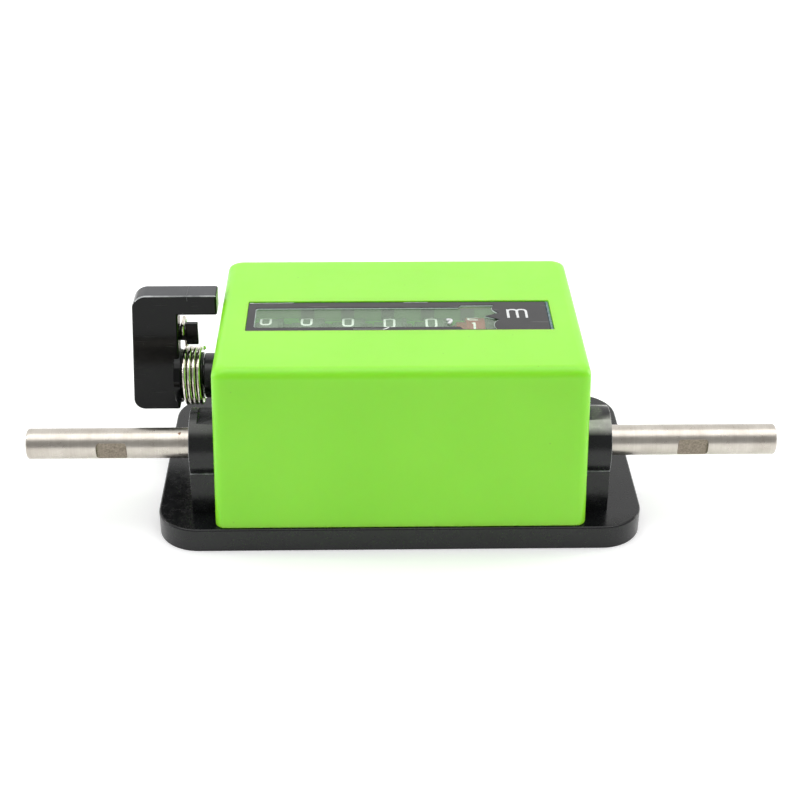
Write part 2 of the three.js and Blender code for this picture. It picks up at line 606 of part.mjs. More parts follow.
NUMBER_WHEELS.slice(1).forEach((_, i) => addNode(`carry_pinion_${i + 1}`, carryPinion(i), 'white'));

// ---------------------------------------------------------------- reset rod, comb, lever, pin, spring
const ROD_TIP = -66.5;
const LEVER_PIN = { x: -63, radius: 1 };
const RESET_CLIP = [CLIP_AT, CLIP_AT + CLIP_WIDTH];

function resetRod() {
  const axis = { y: RESET.y, z: RESET.z, radius: RESET.rod };
  const pinHole = alongY(circle(LEVER_PIN.x, RESET.z, LEVER_PIN.radius + 0.2, 12), 0, 20);
  return cut(groovedRod(axis, ROD_TIP, ROD_END, [CLIP_GROOVE]), pinHole);
}

function resetComb() {
  const press = directionTo(RESET, WHEEL_AXIS);
  const rest = press + RESET.swing;
  const from = wheelCentre(0) - 6.5;
  const to = wheelCentre(5) + 2;
  const sleeve = rod(RESET, RESET.sleeve, from, to, 20);
  const side = [-Math.sin(rest), Math.cos(rest)];
  const ahead = [Math.cos(rest), Math.sin(rest)];
  const place = (reach, offset) => [
    RESET.y + reach * ahead[0] + offset * side[0], RESET.z + reach * ahead[1] + offset * side[1],
  ];
  const outline = [place(2.9, -1.6), place(RESET.finger, -1), place(RESET.finger, 1), place(2.9, 1.6)];
  const fingers = NUMBER_WHEELS.map((_, i) => {
    const left = wheelCentre(i) - WHEEL.shoulderLeft - CARRY.flangeWidth - CAM.width;
    return alongX(outline, left, left + CAM.width - 0.1);
  });
  return cut(join(sleeve, ...fingers), rod(RESET, RESET.rod + 0.1, from - 1, to + 1, 24));
}

function resetLever() {
  const { front, back, top, bottom, barBottom, barEnd, leftTop, leftBottom, rightTop, rightBottom } = LEVER;
  const quarter = Math.PI / 2;
  const slab = alongY([
    ...arc(leftTop + 4, top - 4, 4, 2 * quarter, quarter, 6),
    [barEnd, top], [barEnd, barBottom], [rightTop, barBottom], [rightBottom, bottom],
    ...arc(leftBottom + 3, bottom + 3, 3, 3 * quarter, 2 * quarter, 5),
  ].reverse(), front, back);
  const hub = rod(RESET, LEVER.hub, rightBottom - 0.5, LEVER.hubEnd, 32);
  const flange = rod(RESET, 7.4, rightBottom - 0.5, -59.25, 32);
  const tab = block(-57.6, -54.7, 12, 17.4, 36.2, 42.4);
  const bridge = block(rightBottom - 0.2, -57, 12, 16, 37, 40.4);
  const pinHole = alongY(circle(LEVER_PIN.x, RESET.z, LEVER_PIN.radius + 0.2, 12), front + 0.8, back + 1);
  return cut(join(slab, hub, flange, tab, bridge),
    rod(RESET, RESET.rod + 0.1, ROD_TIP - GAP, LEVER.hubEnd + 1), pinHole);
}

class SpringPath extends THREE.Curve {
  getPoint(share) {
    const { mean, left, turns, pitch } = SPRING;
    const legPart = 0.1;
    if (share < legPart) {
      const up = (1 - share / legPart) * 12;
      return new THREE.Vector3(left, RESET.y + mean, RESET.z + up);
    }
    const angle = -2 * Math.PI * (turns - 0.11) * (share - legPart) / (1 - legPart);
    const x = left + pitch * (share - legPart) / (1 - legPart) * (turns - 0.3);
    return new THREE.Vector3(x, RESET.y + mean * Math.cos(angle), RESET.z + mean * Math.sin(angle));
  }
}

function torsionSpring() {
  const section = new THREE.Shape(circle(0, 0, SPRING.wire, 6).map(([x, y]) => new THREE.Vector2(x, y)));
  return toSolid(new THREE.ExtrudeGeometry(section, {
    steps: 52, extrudePath: new SpringPath(), bevelEnabled: false,
  }));
}

addNode('reset_lever', resetLever(), 'black');
addNode('reset_rod', resetRod(), 'steel');
addNode('reset_comb', resetComb(), 'white');
addNode('lever_pin', alongY(circle(LEVER_PIN.x, RESET.z, LEVER_PIN.radius, 12), LEVER.front + 1, LEVER.back - 0.4),
  'steel');
addNode('reset_rod_clip', snapRing({ ...RESET }, RESET.rod - GAP, RESET.rod + 1.8, ...RESET_CLIP), 'steel');
addNode('torsion_spring', torsionSpring(), 'steel');

export default counter;
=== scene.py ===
import json
from math import asin, ceil, copysign, cos, degrees, pi, radians, sin

import bmesh
import bpy
from mathutils import Matrix, Vector


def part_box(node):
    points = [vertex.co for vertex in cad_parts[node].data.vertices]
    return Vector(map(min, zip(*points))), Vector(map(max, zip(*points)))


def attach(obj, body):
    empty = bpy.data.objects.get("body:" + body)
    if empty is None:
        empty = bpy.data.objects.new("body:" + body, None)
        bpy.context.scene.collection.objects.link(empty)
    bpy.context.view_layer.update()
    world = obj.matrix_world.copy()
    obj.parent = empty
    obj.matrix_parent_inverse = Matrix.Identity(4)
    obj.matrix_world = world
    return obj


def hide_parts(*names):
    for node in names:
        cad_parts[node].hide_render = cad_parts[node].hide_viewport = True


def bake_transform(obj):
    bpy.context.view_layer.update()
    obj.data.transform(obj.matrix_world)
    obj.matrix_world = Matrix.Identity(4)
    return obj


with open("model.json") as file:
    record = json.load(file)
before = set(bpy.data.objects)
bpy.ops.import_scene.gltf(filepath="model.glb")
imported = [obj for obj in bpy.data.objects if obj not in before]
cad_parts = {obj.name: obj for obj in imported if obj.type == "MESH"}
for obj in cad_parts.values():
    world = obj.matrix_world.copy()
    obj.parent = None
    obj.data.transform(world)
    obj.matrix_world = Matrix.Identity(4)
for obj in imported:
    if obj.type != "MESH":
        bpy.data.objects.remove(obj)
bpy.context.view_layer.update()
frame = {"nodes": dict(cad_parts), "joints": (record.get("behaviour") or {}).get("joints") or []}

# The looks of a mechanical length counter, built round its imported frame.
# Helper functions take millimetres in the part's frame: +X along the shaft, +Y away from the reader, +Z up.
MM = 0.001


def span(node):
    """Lowest and highest corner of a CAD node, in millimetres."""
    low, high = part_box(node)
    return [c / MM for c in low], [c / MM for c in high]


PIVOT = {joint["name"]: [c / MM for c in joint["pos_m"]] for joint in frame["joints"]}
SHAFT_AXIS = PIVOT["shaft_spin"][1:]
WHEEL_AXIS = PIVOT["tenths_spin"][1:]
RESET_AXIS = PIVOT["reset_swing"][1:]
CARRY_AXIS = PIVOT["pinion_1_spin"][1:]


# ---------------------------------------------------------------- camera, lights, floor
CAMERA = {"place": (-8.178, -363.213, 237.417), "pitch": 30.313, "yaw": 1.344, "roll": 0.328, "lens": 69.75}


def make_camera():
    """The camera stands in front of the counter, well above it, and looks down on it."""
    pitch, yaw, roll = (radians(CAMERA[k]) for k in ("pitch", "yaw", "roll"))
    forward = Vector((sin(yaw) * cos(pitch), cos(yaw) * cos(pitch), -sin(pitch)))
    right = Vector((cos(yaw), -sin(yaw), 0))
    up = right.cross(forward)
    across = cos(roll) * right + sin(roll) * up
    upward = cos(roll) * up - sin(roll) * right
    camera = bpy.data.objects.new("camera", bpy.data.cameras.new("camera"))
    bpy.context.scene.collection.objects.link(camera)
    camera.data.lens = CAMERA["lens"]
    camera.data.sensor_width = 36
    camera.data.clip_start, camera.data.clip_end = 0.01, 20
    turn = Matrix((across, upward, -forward)).transposed().to_4x4()
    camera.matrix_world = Matrix.Translation(Vector(CAMERA["place"]) * MM) @ turn
    bpy.context.scene.camera = camera


def area_light(name, place, aim, size, power, color=(1, 1, 1)):
    """A rectangular lamp, placed and aimed in metres."""
    data = bpy.data.lights.new(name, "AREA")
    data.shape = "RECTANGLE"
    data.size, data.size_y = size
    data.energy = power
    data.color = color
    light = bpy.data.objects.new(name, data)
    bpy.context.scene.collection.objects.link(light)
    light.location = place
    light.rotation_mode = "QUATERNION"
    light.rotation_quaternion = (Vector(aim) - Vector(place)).to_track_quat("-Z", "Y")


def make_world():
    """White all round: brightest behind the counter, where a white sweep stands, and darker in front."""
    world = bpy.data.worlds.new("studio")
    bpy.context.scene.world = world
    world.use_nodes = True
    tree = world.node_tree
    background = tree.nodes["Background"]
    direction = tree.nodes.new("ShaderNodeTexCoord")
    split = tree.nodes.new("ShaderNodeSeparateXYZ")
    level = tree.nodes.new("ShaderNodeMapRange")
    for name, number in (("From Min", -0.7), ("From Max", 0.75), ("To Min", 0.40), ("To Max", 1.12)):
        level.inputs[name].default_value = number
    level.interpolation_type = "SMOOTHSTEP"
    tree.links.new(direction.outputs["Generated"], split.inputs[0])
    tree.links.new(split.outputs["Y"], level.inputs["Value"])
    tree.links.new(level.outputs["Result"], background.inputs["Strength"])
    background.inputs["Color"].default_value = (1.0, 1.0, 1.0, 1)


def make_stage():
    make_camera()
    make_world()
    area_light("overhead", (0.0, -0.12, 1.05), (0, 0, 0), (1.5, 0.9), 7.0)
    area_light("left_strip", (-0.85, 0.1, 0.30), (0, 0, 0.03), (0.10, 0.5), 1.4)
    area_light("right_strip", (0.85, 0.25, 0.22), (0, 0, 0.03), (0.12, 0.5), 2.0)
    # Stands for the daylight that comes through the cover's translucent walls.
    area_light("glow_in_housing", (-0.003, 0.0232, 0.034), (-0.003, 0.05, 0.038), (0.074, 0.014), 0.0003,
               (0.95, 1.0, 0.9))
    scene = bpy.context.scene
    scene.view_settings.view_transform = "Standard"
    scene.view_settings.look = "None"


# ---------------------------------------------------------------- mesh helpers
def mesh_object(name, vertices, faces):
    """A closed mesh from points in millimetres, with its faces turned outwards."""
    mesh = bpy.data.meshes.new(name)
    mesh.from_pydata([[c * MM for c in v] for v in vertices], [], faces)
    obj = bpy.data.objects.new(name, mesh)
    bpy.context.scene.collection.objects.link(obj)
    work = bmesh.new()
    work.from_mesh(mesh)
    bmesh.ops.remove_doubles(work, verts=work.verts, dist=1e-7)
    bmesh.ops.recalc_face_normals(work, faces=work.faces)
    work.to_mesh(mesh)
    work.free()
    return obj


def skin(name, rings, looped=False):
    """A body through rings with equal point counts; looped joins the last ring to the first."""
    count = len(rings[0])
    vertices = [point for ring in rings for point in ring]
    pairs = list(zip(range(len(rings) - 1), range(1, len(rings))))
    if looped:
        pairs.append((len(rings) - 1, 0))
    faces = []
    for a, b in pairs:
        for i in range(count):
            j = (i + 1) % count
            faces.append((a * count + i, a * count + j, b * count + j, b * count + i))
    if not looped:
        last = (len(rings) - 1) * count
        faces.append(tuple(range(count)))
        faces.append(tuple(range(last, last + count)))
    return mesh_object(name, vertices, faces)


def circle_x(x, radius, axis, segments=96):
    """A circle of points round a line along X."""
    turns = [2 * pi * i / segments for i in range(segments)]
    return [(x, axis[0] + radius * cos(t), axis[1] + radius * sin(t)) for t in turns]


def lathe(name, profile, axis, segments=96, looped=False):
    """A turned body from (x, radius) points, round a line along X."""
    return skin(name, [circle_x(x, radius, axis, segments) for x, radius in profile], looped)


def rod(name, start, end, radius, axis, segments=48):
    """A plain cylinder round a line along X."""
    return lathe(name, [(start, radius), (end, radius)], axis, segments)


def along_x(name, outline, start, end):
    """An outline of (y, z) points pushed along X."""
    return skin(name, [[(x, y, z) for y, z in outline] for x in (start, end)])


def along_y(name, outline, start, end):
    """An outline of (x, z) points pushed along Y."""
    return skin(name, [[(x, y, z) for x, z in outline] for y in (start, end)])


def along_z(name, outline, start, end):
    """An outline of (x, y) points pushed along Z."""
    return skin(name, [[(x, y, z) for x, y in outline] for z in (start, end)])


def block(name, low, high):
    (x0, y0, z0), (x1, y1, z1) = low, high
    return along_z(name, [(x0, y0), (x1, y0), (x1, y1), (x0, y1)], z0, z1)


def arc(a, b, radius, start, end, steps):
    """Points of an arc round (a, b); angles in degrees."""
    turns = [radians(start + (end - start) * i / steps) for i in range(steps + 1)]
    return [(a + radius * cos(t), b + radius * sin(t)) for t in turns]


def applied(obj):
    """Turns an object's modifiers into mesh."""
    graph = bpy.context.evaluated_depsgraph_get()
    mesh = bpy.data.meshes.new_from_object(obj.evaluated_get(graph))
    obj.modifiers.clear()
    old = obj.data
    obj.data = mesh
    bpy.data.meshes.remove(old)
    return obj


def rounded(obj, width, segments=3, angle=30):
    """Rounds the edges sharper than angle."""
    edge = obj.modifiers.new("edge", "BEVEL")
    edge.width = width * MM
    edge.segments = segments
    edge.limit_method = "ANGLE"
    edge.angle_limit = radians(angle)
    return applied(obj)


def boolean(obj, operation, *tools):
    """Joins tools to obj, or cuts them from it, and removes them."""
    for tool in tools:
        step = obj.modifiers.new("step", "BOOLEAN")
        step.operation = operation
        step.solver = "EXACT"
        step.object = tool
        applied(obj)
        bpy.data.objects.remove(tool)
    return obj


def merged(name, objects):
    """Several separate bodies as one object."""
    work = bmesh.new()
    for obj in objects:
        work.from_mesh(obj.data)
    mesh = bpy.data.meshes.new(name)
    work.to_mesh(mesh)
    work.free()
    for obj in objects:
        bpy.data.objects.remove(obj)
    result = bpy.data.objects.new(name, mesh)
    bpy.context.scene.collection.objects.link(result)
    return result


def edged(obj, material, chosen):
    """Gives the narrow faces picked by chosen(normal, centre in millimetres) a second, paler material that
    paints a highlight on them.
    """
    mesh = obj.data
    mesh.materials.append(material)
    picked = [1 if chosen(face.normal, face.center / MM) else 0 for face in mesh.polygons]
    mesh.polygons.foreach_set("material_index", picked)


def placed(obj, material, body, slot, replaces=(), angle=32):
    """Shades a piece smoothly between its sharp edges and gives it a material and a body; slot is not used.
    """
    mesh = obj.data
    mesh.polygons.foreach_set("use_smooth", [True] * len(mesh.polygons))
    mesh.set_sharp_from_angle(angle=radians(angle))
    weighted = obj.modifiers.new("weighted", "WEIGHTED_NORMAL")
    weighted.keep_sharp = True
    mesh.materials.clear()
    mesh.materials.append(material)
    if body:
        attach(obj, body)
    if replaces:
        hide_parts(*replaces)
    return obj


# ---------------------------------------------------------------- material helpers
def srgb(red, green, blue):
    """A screen colour, 0 to 255 a channel, as linear light."""
    def linear(c):
        c /= 255
        return c / 12.92 if c <= 0.04045 else ((c + 0.055) / 1.055) ** 2.4
    return (linear(red), linear(green), linear(blue), 1.0)


class Surface:
    """A Principled material whose colour, roughness and relief come from noise in the piece's own space."""

    def __init__(self, name, metallic=0.0):
        self.material = bpy.data.materials.new(name)
        self.material.use_nodes = True
        self.tree = self.material.node_tree
        self.shader = self.tree.nodes["Principled BSDF"]
        self.shader.inputs["Metallic"].default_value = metallic
        self.place = self.node("ShaderNodeTexCoord").outputs["Object"]

    def node(self, kind, **settings):
        made = self.tree.nodes.new(kind)
        for name, value in settings.items():
            setattr(made, name, value)
        return made

    def link(self, output, target):
        self.tree.links.new(output, target)

    def set(self, name, value):
        self.shader.inputs[name].default_value = value
        return self

    def noise(self, size, detail=4.0, stretch=(1, 1, 1), roughness=0.55):
        """Noise whose features are about size millimetres, stretched along each axis."""
        mapping = self.node("ShaderNodeMapping")
        mapping.inputs["Scale"].default_value = [1 / s for s in stretch]
        texture = self.node("ShaderNodeTexNoise")
        texture.inputs["Scale"].default_value = 1 / (size * MM)
        texture.inputs["Detail"].default_value = detail
        texture.inputs["Roughness"].default_value = roughness
        self.link(self.place, mapping.inputs["Vector"])
        self.link(mapping.outputs["Vector"], texture.inputs["Vector"])
        return texture.outputs["Fac"]

    def spots(self, size, share):
        """1 in small round spots that take up a small share of the cells, and 0 elsewhere."""
        cells = self.node("ShaderNodeTexVoronoi", feature="F1")
        cells.inputs["Scale"].default_value = 1 / (size * MM)
        self.link(self.place, cells.inputs["Vector"])
        return self.ranged(cells.outputs["Distance"], share, share * 0.5, 0.0, 1.0)

    def spot(self, centre, radius):
        """1 inside a ragged spot round a point given in millimetres, and 0 outside."""
        away = self.node("ShaderNodeVectorMath", operation="DISTANCE")
        self.link(self.place, away.inputs[0])
        away.inputs[1].default_value = [c * MM for c in centre]
        ragged = self.ranged(self.noise(0.4, 2), 0.3, 0.7, 0.6, 1.5)
        distance = self.times(away.outputs["Value"], ragged)
        return self.ranged(distance, radius * MM, radius * 0.7 * MM, 0.0, 1.0)

    def upward(self, low, high):
        """0 on faces whose normal rises less than low, up to 1 at high."""
        split = self.node("ShaderNodeSeparateXYZ")
        self.link(self.node("ShaderNodeNewGeometry").outputs["Normal"], split.inputs[0])
        return self.ranged(split.outputs["Z"], low, high, 0.0, 1.0)

    def ranged(self, value, low, high, to_low, to_high):
        """A value from low to high, brought to to_low to to_high and held there outside."""
        node = self.node("ShaderNodeMapRange")
        for name, number in (("From Min", low), ("From Max", high), ("To Min", to_low), ("To Max", to_high)):
            node.inputs[name].default_value = number
        self.link(value, node.inputs["Value"])
        return node.outputs["Result"]

    def maths(self, operation, a, b):
        node = self.node("ShaderNodeMath", operation=operation)
        for socket, value in zip(node.inputs, (a, b)):
            if isinstance(value, (int, float)):
                socket.default_value = value
            else:
                self.link(value, socket)
        return node.outputs[0]

    def times(self, a, b):
        return self.maths("MULTIPLY", a, b)

    def ramp(self, value, stops):
        """Colours at places from 0 to 1 along a value."""
        node = self.node("ShaderNodeValToRGB")
        elements = node.color_ramp.elements
        while len(elements) < len(stops):
            elements.new(0.5)
        for element, (place, color) in zip(elements, stops):
            element.position = place
            element.color = color
        self.link(value, node.inputs["Fac"])
        return node.outputs["Color"]

    def mix(self, share, a, b):
        """Colour a where share is 0 and b where it is 1."""
        node = self.node("ShaderNodeMix", data_type="RGBA")
        for index, value in ((0, share), (6, a), (7, b)):
            if isinstance(value, (int, float, tuple)):
                node.inputs[index].default_value = value
            else:
                self.link(value, node.inputs[index])
        return node.outputs[2]

    def color(self, output):
        self.link(output, self.shader.inputs["Base Color"])
        return self

    def sheen(self, size, detail, low, high):
        """Roughness from low to high, in clouds of about size millimetres."""
        self.link(self.ranged(self.noise(size, detail), 0.3, 0.7, low, high), self.shader.inputs["Roughness"])
        return self

    def relief(self, *layers):
        """Bump layers of (height output, strength, depth in millimetres), one on top of another."""
        normal = None
        for height, strength, depth in layers:
            bump = self.node("ShaderNodeBump")
            bump.inputs["Strength"].default_value = strength
            bump.inputs["Distance"].default_value = depth * MM
            self.link(height, bump.inputs["Height"])
            if normal is not None:
                self.link(normal, bump.inputs["Normal"])
            normal = bump.outputs["Normal"]
        self.link(normal, self.shader.inputs["Normal"])
        return self


def green_plastic():
    """Light green moulded plastic, a little translucent, with faint flow marks and rare dust specks; faces
    that look up get a painted sheen, a paler and greyer green.
    """
    made = Surface("green_plastic")
    broad = made.noise(38, 2)
    fine = made.noise(0.6, 3)
    # Painted sheen: the top's green is paler and greyer than the walls', standing in for the bright sky it
    # mirrors.
    top = made.ramp(broad, [(0.3, srgb(147, 225, 58)), (0.7, srgb(154, 230, 66))])
    walls = made.ramp(broad, [(0.3, srgb(137, 222, 34)), (0.7, srgb(143, 227, 42))])
    body = made.mix(made.upward(0.75, 0.98), walls, top)
    specks = made.spots(7, 0.035)
    made.color(made.mix(made.times(specks, 0.35), body, srgb(110, 150, 60)))
    made.sheen(5, 4, 0.30, 0.40)
    made.relief((fine, 0.05, 0.02), (made.noise(14, 2), 0.04, 0.3))
    made.set("Subsurface Weight", 0.6)
    made.set("Subsurface Radius", (0.8, 1.6, 0.3))
    made.set("Subsurface Scale", 2.2 * MM)
    return made.material


def black_plastic(name, dark, light, rough_low, rough_high, dust=0.0, grain=0.06, shine=0.5, top_sheen=0.0,
                  shoulder_highlight=0.0):
    """Black moulded plastic: fine grain, cloudy sheen, pale dust specks and short scuffs, with a painted
    sheen on faces that look up and a painted highlight on the pedestals' shoulders when asked for.
    """
    made = Surface(name)
    cloud = made.noise(6, 5)
    body = made.ramp(cloud, [(0.35, dark), (0.7, light)])
    specks = made.spots(2.6, 0.05)
    scuffs = made.ranged(made.noise(0.5, 2, (14, 2, 1)), 0.68, 0.76, 0.0, 0.35)
    worn = made.times(made.maths("MAXIMUM", specks, scuffs), dust)
    # Painted sheen: faces that look up turn a paler grey, in soft clouds.
    clouded = made.ranged(made.noise(9, 4), 0.25, 0.75, 0.7 * top_sheen, top_sheen)
    film = made.times(made.upward(0.8, 0.98), clouded)
    scuffs_and_highlight = made.mix(worn, body, srgb(150, 150, 150))
    if shoulder_highlight:
        # A painted highlight: a pale mottled band on the shoulders of the pedestals' round heads, above their
        # blocks, and mostly on the right one.
        flat = made.upward(0.9, 0.99)
        sloping = made.times(made.upward(0.62, 0.8), made.maths("SUBTRACT", 1.0, flat))
        place = made.node("ShaderNodeSeparateXYZ")
        made.link(made.place, place.inputs[0])
        high = made.ranged(place.outputs["Z"], 18 * MM, 20 * MM, 0.0, 1.0)
        right = made.ranged(place.outputs["X"], -20 * MM, 20 * MM, 0.12, 1.0)
        sloping = made.times(sloping, made.times(high, right))
        mottled_highlight = made.times(sloping, made.ranged(made.noise(2.2, 4), 0.3, 0.7, 0.7, 1.0))
        scuffs_and_highlight = made.mix(made.times(mottled_highlight, shoulder_highlight), scuffs_and_highlight, srgb(192, 184, 188))
    made.color(made.mix(film, scuffs_and_highlight, srgb(150, 152, 156)))
    made.sheen(2.2, 5, rough_low, rough_high)
    made.relief((made.noise(0.35, 4), grain, 0.05), (made.noise(3.5, 3), 0.08, 0.12))
    made.set("Specular IOR Level", shine)
    return made.material


def nickel():
    """Turned and nickel-plated shaft: fine rings round the axis, cloudy sheen and a few brown specks."""
    made = Surface("nickel_shaft", 1.0)
    rings = made.noise(0.12, 3, (1, 400, 400))
    cloud = made.noise(5, 4)
    body = made.ramp(cloud, [(0.3, srgb(180, 173, 163)), (0.7, srgb(206, 200, 191))])
    streaks = made.ramp(rings, [(0.35, srgb(176, 169, 159)), (0.65, srgb(212, 207, 198))])
    blended = made.mix(0.25, body, streaks)
    pits = made.times(made.spots(3.2, 0.06), 0.35)
    rust = made.maths("MAXIMUM", made.spot((-57.3, -19.4, 26.7), 0.42), made.spot((-56.2, -19.9, 26.2), 0.12))
    worn = made.mix(pits, blended, srgb(120, 104, 88))
    made.color(made.mix(made.times(rust, 0.9), worn, srgb(98, 60, 34)))
    made.sheen(1.5, 4, 0.26, 0.36)
    made.relief((rings, 0.05, 0.02), (made.noise(0.9, 3), 0.04, 0.05))
    return made.material


def clouded(name, clouds, stops, sheen, *relief, metallic=0.0):
    """A surface of one clouded colour and one clouded sheen; relief holds (noise, strength, depth) layers."""
    made = Surface(name, metallic)
    made.color(made.ramp(made.noise(*clouds), stops))
    made.sheen(*sheen)
    made.relief(*[(made.noise(*noise), strength, depth) for noise, strength, depth in relief])
    return made


def milled():
    """The shaft's milled flats: sandy grey and matt, with cutter marks."""
    stops = [(0.3, srgb(126, 116, 102)), (0.7, srgb(164, 154, 140))]
    cutter, grain = ((0.16, 2, (1, 60, 60)), 0.35, 0.03), ((0.25, 3), 0.25, 0.03)
    return clouded("milled_flat", (0.5, 5), stops, (0.4, 3, 0.5, 0.7), cutter, grain, metallic=0.75).material


def spring_wire():
    """Bright nickel-plated wire with drawing lines and a little tarnish."""
    stops = [(0.3, srgb(190, 182, 168)), (0.62, srgb(236, 231, 222))]
    lines = ((0.15, 2), 0.08, 0.01)
    return clouded("spring_wire", (1.6, 4), stops, (0.7, 4, 0.10, 0.22), lines, metallic=1.0).material


def machined(name, dark, light, rough_low, rough_high):
    """Bright or dark machined metal with fine tool marks and clouded oil film."""
    stops, tool_marks = [(0.3, dark), (0.7, light)], ((0.2, 3, (1, 8, 8)), 0.15, 0.02)
    return clouded(name, (2.5, 5), stops, (1.2, 4, rough_low, rough_high), tool_marks, metallic=1.0).material


def wheel_plastic(name, dark, light):
    """Moulded number wheel: satin, with faint streaks round its axis."""
    stops, grain = [(0.3, dark), (0.7, light)], ((0.2, 3), 0.1, 0.02)
    return clouded(name, (1.4, 4, (1, 3, 3)), stops, (0.8, 4, 0.32, 0.46), grain).material


def leaked_light(name, dark, light, leaves):
    """Satin plastic near the translucent cover's wall, with a painted green glow, an emission for the light
    that leaks through the wall, but none at the comb's leaves.
    """
    stops, grain = [(0.3, dark), (0.7, light)], ((0.2, 3), 0.1, 0.02)
    made = clouded(name, (1.4, 4), stops, (0.8, 4, 0.5, 0.65), grain)
    shade = made.ranged(made.noise(6, 2), 0.3, 0.7, 0.75, 1.0)
    if leaves:
        place = made.node("ShaderNodeSeparateXYZ")
        made.link(made.node("ShaderNodeNewGeometry").outputs["Position"], place.inputs[0])
        along = made.maths("SUBTRACT", place.outputs["X"], (LEAF["first"] + LEAF["left"]) * MM)
        phase = made.maths("FRACT", made.times(along, 1 / (LEAF["pitch"] * MM)), 0.0)
        width = (LEAF["right"] - LEAF["left"]) / LEAF["pitch"]
        shade = made.times(shade, made.maths("GREATER_THAN", phase, width))
    made.set("Emission Color", LEAK)
    made.link(shade, made.shader.inputs["Emission Strength"])
    return made.material


def printed(name, dark, light, rough=(0.5, 0.65), glow=0.0):
    """Printed ink, slightly uneven; glow is a painted light, an emission in the ink's light colour on top of
    the lit ink.
    """
    stops, grain = [(0.25, dark), (0.6, light)], ((0.12, 2), 0.15, 0.01)
    made = clouded(name, (0.5, 4), stops, (0.3, 3, *rough), grain)
    made.set("Emission Color", light)
    made.set("Emission Strength", glow)
    return made.material


def mask_film():
    """Glossy black film with hairline scratches and smudges."""
    made = Surface("mask_film")
    scratches = made.ranged(made.noise(0.35, 1, (30, 1.2, 1)), 0.70, 0.74, 0.0, 1.0)
    smudge = made.noise(4, 4)
    body = made.ramp(smudge, [(0.3, srgb(18, 18, 20)), (0.7, srgb(34, 33, 34))])
    made.color(made.mix(made.times(scratches, 0.35), body, srgb(140, 140, 140)))
    made.link(made.ranged(smudge, 0.3, 0.7, 0.07, 0.16), made.shader.inputs["Roughness"])
    made.relief((scratches, 0.1, 0.01), (made.noise(9, 2), 0.04, 0.1))
    return made.material


# How many clean surfaces the pane and its film mirror like, and the share of them that a veil of dust and
# haze covers; the veil's green is painted light.
PANE_SURFACES = 1.9
PANE_VEIL = 0.085
# The comb's leaves behind the wheels: middle of the first, distance between them, and edges from the middle.
LEAF = {"first": -24.3, "pitch": 10.9, "left": -2.1, "right": 1.4}
# The green light that comes through the cover's wall, painted on as emission.
LEAK = (0.03, 0.09, 0.015, 1)


def clear_pane():
    """A clear sheet under a clear film: the faces mirror the surroundings and the rest goes through, under a
    thin veil of dust and haze tinted green as painted light.
    """
    made = Surface("clear_pane")
    made.tree.nodes.remove(made.shader)
    dust = made.noise(2.5, 5, roughness=0.5)
    through = made.node("ShaderNodeBsdfTransparent")
    tint = made.ramp(dust, [(0.3, (0.90, 0.95, 0.91, 1)), (0.7, (0.97, 0.99, 0.97, 1))])
    made.link(tint, through.inputs["Color"])
    mirror = made.node("ShaderNodeBsdfGlossy")
    made.link(made.ranged(dust, 0.0, 1.0, 0.02, 0.09), mirror.inputs["Roughness"])
    fresnel = made.node("ShaderNodeFresnel")
    fresnel.inputs["IOR"].default_value = 1.49
    behind = made.node("ShaderNodeNewGeometry").outputs["Backfacing"]
    surfaces = made.times(made.maths("SUBTRACT", 1.0, behind), PANE_SURFACES)
    mirrored = made.maths("MINIMUM", made.times(fresnel.outputs["Fac"], surfaces), 1.0)
    sheet = made.node("ShaderNodeMixShader")
    made.link(mirrored, sheet.inputs["Fac"])
    made.link(through.outputs["BSDF"], sheet.inputs[1])
    made.link(mirror.outputs["BSDF"], sheet.inputs[2])
    # Dust and haze, tinted green: a painted glow of the cover's light seen through the window.
    veil = made.node("ShaderNodeBsdfDiffuse")
    green_haze = made.ramp(dust, [(0.3, (0.42, 0.72, 0.38, 1)), (0.7, (0.55, 0.80, 0.50, 1))])
    made.link(green_haze, veil.inputs["Color"])
    dust_and_glow = made.node("ShaderNodeMixShader")
    dust_and_glow.inputs["Fac"].default_value = PANE_VEIL
    made.link(sheet.outputs["Shader"], dust_and_glow.inputs[1])
    made.link(veil.outputs["BSDF"], dust_and_glow.inputs[2])
    made.link(dust_and_glow.outputs["Shader"], made.tree.nodes["Material Output"].inputs["Surface"])
    return made.material


def pane_rim():
    """The pane's rough-sawn edge, bluish where light gathers in it."""
    stops = [(0.3, srgb(60, 78, 84)), (0.55, srgb(104, 130, 136)), (0.75, srgb(160, 184, 190))]
    return clouded("pane_rim", (0.7, 5), stops, (0.4, 3, 0.15, 0.5), ((0.5, 4), 0.6, 0.15)).material


def floor_paint():
    """Plain white paper."""
    made = Surface("floor_paper")
    made.color(made.ramp(made.noise(60, 2), [(0.3, (0.90, 0.90, 0.905, 1)), (0.7, (0.92, 0.92, 0.925, 1))]))
    made.relief((made.noise(0.5, 2), 0.02, 0.05))
    made.set("Roughness", 0.9)
    made.set("Specular IOR Level", 0.1)
    made.set("Emission Color", (1.0, 1.0, 1.0, 1.0))
    made.set("Emission Strength", 0.22)
    return made.material


